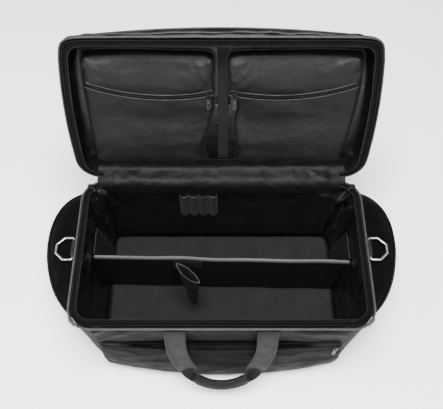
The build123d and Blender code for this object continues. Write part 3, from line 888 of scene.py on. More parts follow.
lid_foot = in_lid((0, -0.1485, 0.012))
outer_stations = [(0.1515, 0.200), (0.1525, 0.212), (0.1535, 0.222), (0.1560, 0.2285), (0.1640, 0.2305),
                  (lid_foot[1] + 0.004, lid_foot[2] - 0.004)]


def outer_slack(grid):
    """Slight sag between the tub and the lid."""
    move = np.zeros(grid.shape)
    move[..., 1] = 0.8 * MM * folds(grid, (0.04, 0.03, 0.02), 61)
    return move


drape("hinge_cloth", outer_stations, 1.2 * MM, outer_slack, outer_cloth, "outer_fabric", "hinge_strip")

flap_top = in_lid((0, -0.118, 0.0225))
flap_low = in_lid((0, -0.134, 0.0215))
flap_stations = [(flap_top[1], flap_top[2]), (flap_low[1], flap_low[2]), (0.1722, 0.2360), (0.1625, 0.2340),
                 (0.1545, 0.2330), (0.1475, 0.2308), (0.1415, 0.2250), (0.1378, 0.2150), (0.1365, 0.2030)]


def flap_sag(grid):
    """Slack of the inner flap: slanting folds, deeper towards its ends."""
    x = grid[..., 0]
    fall = np.sin(np.linspace(0, pi, grid.shape[0]))[:, None] ** 0.8
    move = np.zeros(grid.shape)
    slanted = grid + np.stack([np.sign(x) * grid[..., 2] * 0.9, 0 * x, 0 * x], -1)
    move[..., 2] = 2.2 * MM * fall * folds(slanted, (0.030, 0.05, 0.05), 63) + 3.0 * MM * fall * ridges(
        slanted * (1, 0.5, 0.3), 0.026, 65) * smooth_step(np.abs(x), 0.06, 0.20)
    move[..., 1] = 3.0 * MM * fall * folds(slanted, (0.026, 0.05, 0.05), 66)
    return move


inner_flap = drape("inner_hinge_flap", flap_stations, 0.8 * MM, flap_sag, flap_cloth, "lining_fabric")


# ---------- pen loops on the back wall ----------

loop_low, loop_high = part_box("pen_loops")
loop_pitch = (loop_high.x - loop_low.x) / 4
loop_radius = 8.4 * MM
wall_face = loop_high.y - 1.2 * MM
columns = []
for k in range(4):
    middle = loop_low.x + (k + 0.5) * loop_pitch
    for turn in np.linspace(-pi / 2, pi / 2, 15):
        columns.append((middle + loop_radius * sin(turn), wall_face - loop_radius * cos(turn) * 0.98))
    columns.append((middle + loop_pitch / 2, wall_face - 0.5 * MM))
columns = np.array([(loop_low.x, wall_face - 0.5 * MM)] + columns)
loop_foot = 0.118
loop_length = 0.076
loop_levels = np.linspace(loop_foot + loop_length, loop_foot, 22)
grid = np.zeros((len(loop_levels), len(columns), 3))
grid[..., 0] = columns[None, :, 0]
grid[..., 1] = columns[None, :, 1]
grid[..., 2] = loop_levels[:, None]
mouth = np.sin(np.clip((loop_levels - loop_foot) / loop_length, 0, 1) * pi)[:, None]
depth = (wall_face - grid[..., 1]) / loop_radius
grid[..., 1] += 0.9 * MM * depth * mouth + 0.5 * MM * folds(grid, (0.02, 0.02, 0.05), 71) * depth
grid[..., 2] += 1.4 * MM * folds(grid, (0.03, 0.05, 0.2), 72) * depth
loops = cloth_sheet("pen_loop_band", grid, 1.0 * MM)
strip_rows = [[(x, wall_face + y, z) for x in np.linspace(loop_low.x, loop_high.x, 20)]
              for y, z in ((0.7 * MM, loop_high.z), (0.0, 0.19), (0.0, 0.16), (0.0, 0.13), (0.7 * MM, loop_low.z))]
backing = cloth_sheet("pen_loop_backing", np.array(strip_rows), 0.9 * MM)
loops = join("pen_loops_elastic", [loops, backing])
finish_piece(loops, elastic_cloth, "bag", "elastic", "pen_loops")
lines = [(np.array([(loop_low.x + k * loop_pitch, wall_face - 1.5 * MM, z) for z in np.linspace(0.120, 0.192, 30)]),
          (0, -1, 0)) for k in range(5)]
stitch_lines("pen_loop_stitching", lines, "bag")


# ---------- front pocket ----------

pocket_levels = np.array([(5, 222, 151, 170), (16, 228, 152.5, 176), (35, 232, 155, 181), (58, 233, 155, 178),
                          (80, 233, 154, 173), (105, 232, 152, 166), (123, 230, 150, 160), (132, 227, 149.5, 157),
                          (142, 224, 148.6, 153)]) * MM


def pocket_level(z):
    """Half width, side depth and front depth of the front pocket at a height."""
    return [float(np.interp(z, pocket_levels[:, 0], pocket_levels[:, i])) for i in (1, 2, 3)]


def front_ring(z, shrink):
    """Closed plan outline of the front pocket at a height, against the tub's wall."""
    half, side_y, front_y = pocket_level(z)
    half -= shrink
    xs = np.linspace(-half, half, 72)
    bow = (1 - (xs / half) ** 2)
    front = -(side_y + (front_y - side_y) * bow ** 0.9) + shrink
    back = -(tub_outline(z)[0][:, 1].max() + 0.4 * MM)
    line = [(x, y) for x, y in zip(xs, front)] + [(x, back) for x in xs[::-1]]
    return np.array([(x, y, z) for x, y in line])


front_bow = 2.4  # radius of the front zipper's bend in plan


def arc_y(x, face=-0.1635):
    """Front face of the front pocket's zipper at a width."""
    return face + (front_bow - np.sqrt(front_bow ** 2 - x * x))


front_levels = [6, 12, 24, 40, 60, 80, 100, 118, 124, 136, 141]
front_bag = ring_solid("front_pocket_cloth", [front_ring(z * MM, 1.2 * MM) for z in front_levels])
front_zip_z = 0.130


def front_pinned(p):
    """Sewn to the wall at the back, along the base and along the zipper."""
    return p[1] > -0.1515 or p[2] < 0.008 or p[2] > 0.138


def front_folds(p, n):
    """Keeps the zipper's bed even and adds long soft creases below it."""
    x, y, z = p[:, 0], p[:, 1], p[:, 2]
    front = smooth_step(-y, 0.1520, 0.1550)
    below = band(z, 0.02, 0.105, 0.015)
    along = np.stack([x * 0.35, y, z], -1)
    move = n * (front * below * (1.8 * MM * folds(along, 0.03, 5) + 1.6 * MM * ridges(along, 0.022, 6)))[:, None]
    bed = front * band(z, 0.120, 0.140, 0.006) * (np.abs(x) < 0.226)
    move[:, 1] += bed * (arc_y(x, -0.1632) - y)
    return move


full_pocket(front_bag, front_pinned, front_folds, outer_cloth, "bag", "outer_fabric", "front_pocket", pressure=2.0,
            cap=4 * MM, seed=3)



def front_row(height, lift):
    """A row of points along the front zipper, in millimetres up from its middle and off the cloth."""
    return np.array([(x, arc_y(x) - lift * MM, front_zip_z + height * MM) for x in np.linspace(-0.224, 0.224, 150)])


pocket_zipper("front_zip_{}", front_row, ((-8, 0.1), (-7, 0.5), (-2.6, 0.8), (-2.0, 1.1), (2.0, 1.1), (2.6, 0.8),
                                          (7, 0.5), (8, 0.1)), (0, -1, 0), "bag", "front_zipper", flap_cloth,
              0.7 * MM, 1.5, (5.6, 1.0, 1.3 * MM, outer_cloth, "outer_fabric"), (7.2, 0.9))

# the pocket's top edge, bound and sewn to the wall
path = np.array([(x, -(0.1500 + 0.0025 * (1 - (x / 0.224) ** 2)), 0.1425) for x in np.linspace(-0.222, 0.222, 90)])
path[:, 2] += 0.5 * MM * folds(path, 0.05, 77)
finish_piece(sweep("front_pocket_top_seam", path, circle(1.5 * MM, 8), (0, 0, 1)), outer_cloth, "bag",
             "outer_fabric")


# ---------- end pockets ----------

end_levels = np.array([(5, 314, 40, -80, 142), (20, 332, 42, -88, 151), (60, 350, 45, -98, 160),
                       (90, 355, 48, -108, 165), (115, 356, 50, -116, 167), (140, 352, 49, -124, 166),
                       (165, 345, 48, -130, 164), (180, 337, 46, -132, 159), (190, 325, 45, -130, 151),
                       (195, 311, 43, -124, 140), (198, 290, 40, -108, 120)]) * MM
end_middle = 230 * MM
least_half_width = 0.238  # the tub's corners are never taken as narrower than this


def tub_half_width(y, z):
    """Half the tub's width at a distance from its middle, round its corners."""
    width, depth, radius = tub_size(z)
    past = np.clip(np.abs(y) - (depth / 2 - radius), 0, radius)
    return np.maximum(width / 2 - radius + np.sqrt(radius ** 2 - past ** 2), least_half_width)


def end_outline(z, grow=0.0):
    """Plan outline of the right end pocket at a height, from its front round to its rear."""
    reach, fullest, low, high = [float(np.interp(z, end_levels[:, 0], end_levels[:, i])) for i in (1, 2, 3, 4)]
    turns = np.radians(np.linspace(-90, 90, 84))
    power = np.where(turns > 0, 2 / 2.6, 2 / 1.9)
    span = np.where(turns > 0, high - fullest, fullest - low) + grow
    x = end_middle + (reach - end_middle + grow) * np.maximum(np.cos(turns), 0) ** power
    return np.stack([x, fullest + span * np.sign(turns) * np.abs(np.sin(turns)) ** power], -1)


def end_ring(z, side, shrink):
    """Closed ring of an end pocket, held off the tub's wall."""
    points = end_outline(z, -shrink)
    back = np.linspace(points[-1, 1], points[0, 1], 50)[1:-1]
    points = np.vstack([points, np.stack([np.zeros(len(back)), back], -1)])
    points[:, 0] = np.maximum(points[:, 0], tub_half_width(points[:, 1], z) + 0.5 * MM)
    return with_depth(points * (side, 1), z)


end_zip_z = 0.169
end_heights = (6, 12, 20, 35, 60, 85, 110, 135, 160, 175, 184, 190, 194, 197)
for side, word in ((-1, "left"), (1, "right")):
    pocket = ring_solid(f"{word}_end_pocket_cloth", [end_ring(z * MM, side, 2.2 * MM) for z in end_heights])

    def end_pinned(p, side=side):
        """Sewn to the wall and round the foot."""
        return side * p[0] < tub_half_width(p[1], p[2]) + 2.5 * MM or p[2] < 0.009

    def end_folds(p, n, side=side):
        """Broad dents and soft vertical creases; the zipper's bed stays even."""
        x, y, z = p[:, 0], p[:, 1], p[:, 2]
        free = smooth_step(side * x - tub_half_width(y, z), 0.004, 0.02)
        bed = 1 - 0.93 * band(z, 0.158, 0.180, 0.008)
        tall = np.stack([x, y, z * 0.45], -1)
        return n * (free * bed * (3.0 * MM * folds(tall, 0.075, 7 + side) + 2.0 * MM * ridges(tall, 0.05, 14 + side)
                                  - 2.2 * MM))[:, None]

    full_pocket(pocket, end_pinned, end_folds, end_cloth, "bag", "end_pocket_fabric", f"{word}_end_pocket",
                pressure=2.2, voxel=5 * MM, cap=5 * MM, seed=5)

    points = end_outline(0.167)
    run = resample(points[points[:, 0] > tub_half_width(points[:, 1], end_zip_z) + 1.0 * MM], 150)
    outward = np.cross(frames_along(with_depth(run, 0)), (0, 0, 1)) * (side, 1, 1)
    tree = surface_of(pocket)

    def end_row(height, lift, run=run, outward=outward, tree=tree, side=side):
        """A row of points along the zipper, in millimetres up from its middle and off the cloth."""
        row = with_depth(run, end_zip_z + height * MM) * (side, 1, 1)
        return hug(tree, row, outward) + outward * lift * MM

    edges = ((-5, 0.1), (-4.6, 0.7), (-1.7, 0.9), (-1.2, 1.2), (1.2, 1.2), (1.7, 0.9), (4.6, 0.7), (5, 0.1))
    pocket_zipper(f"{word}_end_zip_{{}}", end_row, edges[::side], outward, "bag", f"{word}_end_zipper", tape_cloth,
                  0.6 * MM, 1.5, (7.0, 0.5, 1.5 * MM, end_cloth, "end_pocket_fabric"))


# ---------- divider ----------

skew = radians(1.3)
divider_y = 18 * MM
divider_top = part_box("divider_binding")[1].z
divider_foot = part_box("divider_panel")[0].z
divider_front = np.array([-sin(skew), -cos(skew), 0])
divider_across = np.array([cos(skew), -sin(skew), 0])


def divider_half(z):
    """Half width of the divider at a height."""
    return tub_size(z)[0] / 2 - 6.3 * MM


def divider_point(share, z, forward):
    """Point on the divider: share of its half width, height, distance forward of its middle plane."""
    return np.array([0, divider_y, 0]) + divider_across * share * divider_half(z) + divider_front * forward \
        + np.array([0, 0, z])


def divider_bend(share, z):
    """How far the stiff cloth wanders from flat."""
    wander = 1.6 * sin(share * 5.1 + 0.6) * sin(pi * (z - divider_foot) / 0.16) + 0.8 * sin(share * 11 + 2)
    return wander * MM * (1 - share ** 4)


front_rows = [(divider_foot, 0.8)] + [(z, 2.0) for z in np.linspace(divider_foot + 0.002, divider_top - 0.003, 18)]
front_rows += [(divider_top - 0.0012, 0.8)]
grid = np.array([[divider_point(s, z, half * MM + divider_bend(s, z)) for s in np.linspace(-1, 1, 64)]
                 for z, half in front_rows + [(z, -half) for z, half in front_rows[::-1]]])
panel = make_object("divider_cloth", grid, grid_faces(grid.shape[0], grid.shape[1], close_rows=True))
close_holes(panel)
finish_piece(subdivide(panel), flap_cloth, "divider", "lining_fabric", "divider_panel")

# folded binding tape over the top edge, slightly uneven
binding_z = divider_top - 0.0045
path = np.array([divider_point(s, binding_z, divider_bend(s, binding_z)) + (0, 0, 0.0004 * sin(s * 17))
                 for s in np.linspace(-1, 1, 130)])
fold = np.array([(-2.7, -4.4), (-3.0, -1.0), (-2.8, 2.4), (-1.6, 4.2), (0, 4.6), (1.6, 4.2), (2.8, 2.4), (3.0, -1.0),
                 (2.7, -4.4), (2.1, -4.5), (2.2, 0), (0, 3.0), (-2.2, 0), (-2.1, -4.5)]) * MM
edge = sweep("divider_top_binding", path, fold, (0, 0, 1), levels=1)
finish_piece(edge, binding_cloth, "divider", "binding", "divider_binding")
stitch_lines("divider_stitching", [
    (path + divider_front * side * 3.0 * MM - (0, 0, 0.0026), divider_front * side) for side in (1, -1)], "divider")

wing_tilt = atan2((mouth_width - base_width) / 2 / rim_z, 1)
wing_top = 60 * MM
wing_foot = 78 * MM
for side, word in ((-1, "left"), (1, "right")):
    low_x = divider_half(divider_foot) + 0.5 * MM
    start = divider_y - side * divider_half(divider_top) * sin(skew) + 5 * MM
    inward = np.array([-side * cos(wing_tilt), 0, sin(wing_tilt)])
    upward = np.array([side * sin(wing_tilt), 0, cos(wing_tilt)])
    height = divider_top - divider_foot

    def wing_point(along, up, thick, side=side, low_x=low_x, start=start, inward=inward, upward=upward):
        """Point on a wing: distance back from the divider, up its slope and off its outer face."""
        base = np.array([side * low_x, start, divider_foot])
        return base + np.array([0, along, 0]) + upward * up + inward * thick

    def wing_reach(up, height=height):
        """Length of the wing at a height."""
        return wing_foot + (wing_top - wing_foot) * up / height

    rows = [[wing_point(a * wing_reach(up), up, 1.5 * MM + 0.9 * MM * sin(a * 3.1 + up * 22) * a)
             for a in np.linspace(0, 1, 14)] for up in np.linspace(0.004, height - 0.001, 20)]
    wing = cloth_sheet(f"divider_{word}_wing_cloth", np.array(rows)[::-side], 1.6 * MM)
    finish_piece(wing, flap_cloth, "divider", "lining_fabric", f"divider_{word}_wing")
    edge_path = [wing_point(a, height - 0.0005, 1.4 * MM) for a in np.linspace(0, wing_top - 0.004, 16)]
    edge_path += [wing_point(wing_reach(up) - 0.001, up, 1.4 * MM + 0.9 * MM * sin(3.1 + up * 22))
                  for up in np.linspace(height - 0.004, 0.004, 30)]
    edge_path = resample(np.array(edge_path), 90)
    trim = sweep(f"divider_{word}_wing_binding", edge_path, circle(1.0 * MM, 8) * (1.2, 1.0), inward)
    finish_piece(trim, piping_cloth, "divider", "binding")

# holster: a leaf-mouthed cone of cloth hung from the patch
holster_top = np.array([-0.066, -0.013, divider_top - 0.001])
holster_tip = np.array([-0.058, -0.036, 0.062])
leaf_turn = radians(-42)


def leaf(turn, share):
    """Outline of the holster from its tip (0) to its mouth (1)."""
    long_half = (9 + 22 * share) * MM
    short_half = (6 + 2.2 * share) * MM
    x = long_half * cos(turn)
    y = short_half * sin(turn) * (1 - 0.35 * share * cos(turn) ** 4)
    centre = holster_tip + (holster_top - holster_tip) * share
    droop = -7 * MM * share * (0.5 - 0.5 * cos(turn - 0.2)) * (0.6 + 0.4 * share)
    return centre + np.array([x * cos(leaf_turn) - y * sin(leaf_turn), x * sin(leaf_turn) + y * cos(leaf_turn),
                              droop + 5 * MM * share * max(0, cos(turn - pi))])


turns = np.linspace(0, 2 * pi, 48, endpoint=False)
rows = [[leaf(t, share) + np.array([1.0, 1.0, 0]) * 0.7 * MM * sin(3 * t + 9 * share) for t in turns]
        for share in np.linspace(0.0, 1, 24)]
holster = cloth_sheet("holster_cloth", np.array(rows), 1.4 * MM, close_columns=True)
finish_piece(holster, pocket_cloth, "divider", "lining_fabric", "divider_holster")
lip = sweep("holster_lip", np.array([leaf(t, 1.0) for t in np.linspace(0, 2 * pi, 72, endpoint=False)]),
            circle(0.9 * MM, 8), (0, 0, 1), closed=True)
finish_piece(lip, piping_cloth, "divider", "binding")

low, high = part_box("divider_patch")
rows = [[divider_point(x / divider_half(z), z, 2.6 * MM + divider_bend(x / divider_half(z), z))
         for x in np.linspace(low.x, high.x, 16)] for z in np.linspace(low.z, high.z, 8)]
patch = cloth_sheet("holster_patch", np.array(rows), 1.0 * MM)
finish_piece(patch, board_cloth, "divider", "lining_fabric", "divider_patch")
sewn_low, sewn_high = low + Vector((0.003, 0, 0.003)), high - Vector((0.003, 0, 0.003))
corners = [(sewn_low.x, sewn_low.z), (sewn_high.x, sewn_low.z), (sewn_high.x, sewn_high.z), (sewn_low.x, sewn_high.z)]
frame_line = np.array([divider_point(x / divider_half(z), z, 3.3 * MM) for x, z in corners + corners[:1]])
stitch_lines("patch_stitching", [(resample(frame_line, 60), divider_front)], "divider")


# ---------- rings, their tabs and the sliders' metal ----------

def restyle(node, material):
    """A new material on every slot of a kept CAD part."""
    for slot in frame["nodes"][node].material_slots:
        slot.material = material


bar_x = 0.281  # the ring's straight bar, which the webbing wraps
bar_z = 0.205
for side, word in ((-1, "left"), (1, "right")):
    restyle(f"{word}_ring", ring_steel)
    tab_low, tab_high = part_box(f"{word}_ring_tab")
    middle_y = (tab_low.y + tab_high.y) / 2
    half = (tab_high.y - tab_low.y) / 2
    wall_x = tub_half_width(middle_y, bar_z)
    profile = [(wall_x + 0.9 * MM, -0.045), (wall_x + 1.6 * MM, -0.030), (wall_x + 1.4 * MM, -0.012)]
    profile = [(x, bar_z + z) for x, z in profile]
    profile += [(bar_x + 3.7 * MM * cos(t), bar_z + 3.7 * MM * sin(t)) for t in np.linspace(-2.0, 2.0, 14)]
    profile += [(wall_x + 2.9 * MM, bar_z - 0.004), (wall_x + 2.8 * MM, bar_z - 0.030),
                (wall_x + 2.0 * MM, bar_z - 0.044)]
    line = spline([(side * x, middle_y, z) for x, z in profile], 70)
    out = np.cross(frames_along(line), (0, 1, 0)) * side
    tab = sweep(f"{word}_ring_web", line, strap_section(2 * half, 1.3 * MM), out, levels=1)
    finish_piece(tab, tab_web, "bag", "webbing", f"{word}_ring_tab")
    sewn = np.linspace(middle_y - half + 0.003, middle_y + half - 0.003, 24)
    lines = [(np.array([(side * (wall_x + 3.7 * MM), y, bar_z + z) for y in sewn]), (side, 0, 0))
             for z in (-0.010, -0.036)]
    stitch_lines(f"{word}_tab_stitching", lines, "bag")

for node in ("lid_pull_left", "lid_pull_right", "front_pull", "left_main_pull", "right_main_pull",
             "left_end_pull", "right_end_pull"):
    restyle(node, pull_steel)
for node in ("lid_slider_left", "lid_slider_right", "front_slider", "main_sliders", "end_sliders"):
    restyle(node, slider_zinc)


wire = 0.75 * MM  # radius of the sliders' wire bridges


def bail(name, body, slider_top, eye, out, width=2.4 * MM):
    """Wire bridge from a slider's top down to the eye of its pull."""
    slider_top, eye, out = (np.array(v, float) for v in (slider_top, eye, out))
    run = eye - slider_top
    heading = run / np.linalg.norm(run)
    back = slider_top - heading * 3.4 * MM
    line = spline([back - out * 0.6 * MM, back + out * 1.3 * MM, slider_top + out * 1.9 * MM,
                   slider_top + run * 0.55 + out * 1.6 * MM, eye + heading * 0.2 * MM + out * 1.0 * MM,
                   eye + heading * 0.6 * MM - out * 0.8 * MM], 40)
    obj = sweep(name, line, circle(wire, 8) * (width / 2 / wire, 1.0), out)
    return finish_piece(obj, slider_zinc, body, "slider_metal")


def joint_place(name):
    """Where a joint's axis passes, at rest."""
    return np.array(joints[name]["pos_m"])


def middle_of(node):
    """Centre of a node's box."""
    low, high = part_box(node)
    return np.array((low + high) / 2)


lid_face = -out_of_lid
for side, word in ((-1, "left"), (1, "right")):
    bail(f"lid_bail_{word}", f"lid_slider_{word}", middle_of(f"lid_slider_{word}") + lid_face * 2.2 * MM,
         joint_place(f"lid_pull_{word}_flip"), lid_face)
bail("front_bail", "front_slider", middle_of("front_slider") + np.array([0, -2.2 * MM, 0]),
     joint_place("front_pull_flip"), (0, -1, 0))
for side, word in ((-1, "left"), (1, "right")):
    axis = np.array(joints[f"{word}_end_pull_flip"]["axis"])
    out = np.cross(axis, (0, 0, 1))
    out = out / np.linalg.norm(out)
    if out[1] > 0:
        out = -out
    eye = joint_place(f"{word}_end_pull_flip")
    bail(f"{word}_end_bail", "bag", eye + np.array([0, 0, 9.6 * MM]) + out * 0.4 * MM, eye, out)
    eye = joint_place(f"{word}_main_pull_flip")
    top = np.array([side * 0.256, 0.134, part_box("main_sliders")[1].z - 0.001])
    inward = np.array([-side, -1, 0]) / sqrt(2)
    line = spline([top + inward * -0.002 + (0, 0, 0.0002), top + (0, 0, 0.0022), top + inward * 0.005 + (0, 0, 0.0016),
                   eye + (0, 0, 0.0016), eye + inward * 0.0002 + (0, 0, -0.0012)], 40)
    bridge = sweep(f"{word}_main_bail", line, circle(wire, 8) * (1.5, 1.0), (0, 0, 1))
    finish_piece(bridge, slider_zinc, "bag", "slider_metal")


# ---------- carry handles ----------

def handle_frame(joint_name, lean, side):
    """Origin and axes of a hanging handle's plane: along x, up its straps, and out of the bag."""
    up = np.array([0, -side * sin(lean), cos(lean)])
    across = np.array([-side, 0, 0])
    return joint_place(joint_name), across, up, np.cross(up, -across)


def curled(width, thickness, radius, count=15):
    """Section of webbing bent about its length; a large radius leaves it flat."""
    us = np.linspace(-width / 2, width / 2, count)
    turn = us / radius
    middle = np.stack([radius * np.sin(turn), radius * (1 - np.cos(turn))], -1)
    normal = np.stack([-np.sin(turn), np.cos(turn)], -1)
    edge = np.clip((width / 2 - np.abs(us)) / (1.2 * MM), 0.35, 1)[:, None]
    top = middle + normal * thickness / 2 * edge
    under = middle - normal * thickness / 2 * edge
    return np.vstack([top, under[::-1]])


strap_middle = 83 * MM
strap_line = [(83, 1.5, -1.6), (83, 0.2, -0.2), (83, -10, 1.2), (82.4, -30, 1.6), (81, -57, 1.2), (76, -82, 0.6),
              (69.5, -103, 0.2), (63.5, -122, 0), (57, -138, -0.4), (47.5, -150.5, -0.8), (36, -158.5, -1.2)]
grip_line = [(-52, -145, 0), (-40, -156.5, 0), (-22, -167, 0), (0, -171.5, 0), (22, -167, 0), (40, -156.5, 0),
             (52, -145, 0)]
for word, lean, side in (("front", radians(17), -1), ("rear", radians(10), 1)):
    origin, across, up, out = handle_frame(f"{word}_handle_swing", lean, side)
    body = f"{word}_handle"

    def in_handle(points, origin=origin, across=across, up=up, out=out):
        """From handle coordinates in millimetres to the frame."""
        p = np.asarray(points, float) * MM
        return origin + p[..., :1] * across + p[..., 1:2] * up + p[..., 2:3] * out

    straps, edges = [], []
    for hand in (-1, 1):
        line = spline(in_handle(np.array(strap_line) * (hand, 1, 1)), 72)
        sections = []
        for t in np.linspace(0, 1, 72):
            close = smooth_step(t, 0.60, 0.93)
            radius = (1 / (0.0016 + close ** 1.5 * 0.118)) * MM
            section = curled(38 * MM * (1 - 0.05 * close), 2.6 * MM, radius)
            section[:, 1] -= close * min(radius, 0.02) * 0.95
            sections.append(section)
        straps.append(sweep(f"{word}_strap_{hand + 2}", line, np.array(sections), out))
        beside = unit(np.cross(frames_along(line), out))
        edges += [((line + beside * offset * MM + out * 1.45 * MM)[2:40], out) for offset in (-14.5, 14.5)]
    straps = subdivide(join(f"{word}_strap_webs", straps))
    finish_piece(straps, strap_web, body, "webbing", f"{word}_straps")
    stitch_lines(f"{word}_strap_stitching", edges, body)

    line = spline(in_handle(grip_line), 64)
    ring = circle(1.0, 24)
    pinch = 1 - 0.10 * np.exp(-((np.arctan2(ring[:, 1], ring[:, 0]) - pi / 2) / 0.25) ** 2)
    sections = []
    for t in np.linspace(-1, 1, 64):
        end = smooth_step(abs(t), 0.70, 0.98)
        size = ((12.4 - 4.2 * end) * MM, (8.2 - 0.8 * end) * MM)
        sections.append(ring * size * pinch[:, None] * (1 + 0.012 * sin(t * 40)))
    grip = sweep(f"{word}_grip_roll", line, np.array(sections), out, levels=1)
    finish_piece(grip, grip_web, body, "webbing", f"{word}_grip")
    stitch_lines(f"{word}_grip_stitching", [(line[4:-4] + out * 7.7 * MM + up * w * MM, out) for w in (-2.6, 2.6)],
                 body)

    # strap ends sewn down the wall under the folds, boxed and crossed with stitching
    wall_tree = surface_of(walls["front" if side < 0 else "back"])
    low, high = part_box(f"{word}_anchors")
    tabs, lines = [], []
    for middle in (-strap_middle, strap_middle):
        grid = np.array([[(middle + x * MM, 0, z) for x in (np.linspace(19, -19, 14) * -side)]
                         for z in np.linspace(low.z, high.z, 22)])
        laid = lay_on(wall_tree, grid, (0, -side, 0), 1.7 * MM, 0.3)
        tabs.append(cloth_sheet(f"{word}_anchor_{len(tabs)}", laid, 1.6 * MM))
        corners = [(middle + x * MM, 0, low.z + z * MM) for x, z in
                   ((-15, 4), (15, 4), (15, 34), (-15, 34), (-15, 4), (15, 34), (15, 4), (-15, 34))]
        path = resample(np.array(corners), 180)
        lines.append((lay_on(wall_tree, path, (0, -side, 0), 1.8 * MM, 0.3), (0, side, 0)))
    finish_piece(join(f"{word}_anchor_webs", tabs), strap_web, "bag", "webbing", f"{word}_anchors")
    stitch_lines(f"{word}_anchor_stitching", lines, "bag")


# ---------- lid shell ----------

def lid_warp(p):
    """Slack of the soft lid: bowed sides, and a front edge that rounds off towards the outer panel."""
    p = np.array(p, float)
    x, y, depth = p[..., 0], p[..., 1], p[..., 2]
    share = np.clip((depth - lid_rim) / (lid_back - lid_rim), 0, 1)
    profile = np.clip(1 - ((y + 0.022) / 0.165) ** 2, 0, 1)
    bow = (10.5 + 7 * np.sin(pi * share) - 4 * share) * MM * profile
    drop = share * (5 + 15 * (x / 0.25) ** 2) * MM * smooth_step(y, 0.04, 0.111)
    p[..., 0] = x + np.sign(x) * bow * smooth_step(np.abs(x), 0.19, 0.265)
    ear = smooth_step(np.abs(x), 0.236, 0.262) * smooth_step(y, 0.116, 0.140) * 4.5 * MM
    p[..., 0] += np.sign(x) * ear
    p[..., 1] = y - drop + ear
    return p


tape = rim_band("lid_rim_tape", in_lid, -1, lid_rim, lid_warp)
finish_piece(tape, tape_cloth, "lid", "zipper_tape", "lid_zipper")
rim_details("lid_rim", "lid", in_lid, -1, lid_rim, lid_face, lid_warp)
rim_piping("lid_piping_tube", "lid", in_lid, -1, lid_rim, out_of_lid, 0.6, 52, "lid_piping", lid_warp)


def gusset_grid(columns, depths, seed):
    """Outer skin of the lid's gusset, level by level, with soft creases along it and tucks at the corners."""
    points, normals = rim_outline(0, whole=True)
    rows = []
    for depth in depths:
        p = lid_warp(with_depth(points[columns], depth, -1))
        n = with_depth(normals[columns], 0, -1)
        share = (depth - lid_rim) / (lid_back - lid_rim)
        loose = np.sin(pi * np.clip(share, 0, 1))
        corner = smooth_step(np.abs(p[:, 0]), 0.235, 0.265) * smooth_step(np.abs(p[:, 1]), 0.095, 0.125)
        along = np.stack([p[:, 0] * 0.5, p[:, 1] * 0.5, p[:, 2]], -1)
        out = loose * (2.4 * folds(along, 0.03, seed) + 2.2 * ridges(along, 0.02, seed + 1)) \
            + loose * corner * (3.5 * ridges(p, (0.02, 0.02, 0.06), seed + 2))
        ear = corner * np.exp(-((depth - 0.040) / 0.008) ** 2) * (p[:, 1] > 0) * 4.0
        rows.append(in_lid(p + n * ((out + ear) * MM)[:, None]))
    return np.array(rows)


gusset_depths = np.linspace(lid_rim + 2 * MM, lid_back - 1.5 * MM, 18)
for word, columns, seed in (("front", front_columns, 81), ("left", left_columns, 84), ("right", right_columns, 87),
                            ("back", back_columns, 90)):
    skin = cloth_sheet(f"lid_gusset_{word}_cloth", gusset_grid(columns, gusset_depths, seed)[::-1], 1.3 * MM)
    finish_piece(skin, outer_cloth, "lid", "outer_fabric", f"lid_gusset_{word}")

# two taped seams along the front and sides of the gusset
seams = []
seam_columns = np.arange(first_left, first_back + 1)
points, normals = rim_outline(0, whole=True)
lift = in_lid(with_depth(normals[seam_columns], 0, -1)) - in_lid((0, 0, 0))
heights = np.array([0.4, 1.9, 1.9, 0.4])[:, None, None] * MM
for depth in (0.017, 0.031):
    grid = gusset_grid(seam_columns, [depth - 0.0025, depth - 0.001, depth + 0.001, depth + 0.0025], 81)
    seams.append(cloth_sheet(f"seam_{len(seams)}", (grid + lift[None] * heights)[::-1], 0.9 * MM))
finish_piece(join("lid_gusset_tapes", seams), piping_cloth, "lid", "outer_fabric")

outer_edge = lid_warp(with_depth(points, lid_back, -1))[:, :2]
crown_rows = []
for share, inset, lift in [(1, 1.2, -2.6), (1, 0.2, -1.4), (1, 0, -0.4), (1, 1.4, 0.5), (0.975, 0, 1.0)] \
        + [(s, 0, 1.2) for s in (0.95, 0.9, 0.8, 0.65, 0.5, 0.35, 0.2, 0.08, 0.01)]:
    flat = outer_edge * share - (normals * (1, -1)) * inset * MM
    swell = 5.5 * MM * np.clip(1 - share ** 2.4, 0, 1)
    ring = with_depth(flat, lid_back + lift * MM + swell)
    ring[:, 2] += 1.4 * MM * folds(ring * (1, 1, 0), 0.09, 93) * np.clip((1 - share) * 5, 0, 1)
    crown_rows.append(in_lid(ring))
crown = cloth_sheet("lid_outer_panel", np.array(crown_rows), 1.3 * MM, close_columns=True)
finish_piece(crown, outer_cloth, "lid", "outer_fabric", "lid_panel")
edge = in_lid(with_depth(outer_edge + normals * (1, -1) * 0.8 * MM, lid_back - 0.6 * MM))
finish_piece(sweep("lid_panel_piping", edge, circle(2.0 * MM, 10), out_of_lid, closed=True), piping_cloth, "lid",
             "piping")
crown_tree = surface_of(crown)
rings = [in_lid(with_depth(outer_edge * share, lid_back)) for share in (0.965, 0.74)]
stitch_lines("lid_panel_stitching", [(lay_on(crown_tree, ring, -out_of_lid, 0.2 * MM), out_of_lid) for ring in rings],
             "lid")

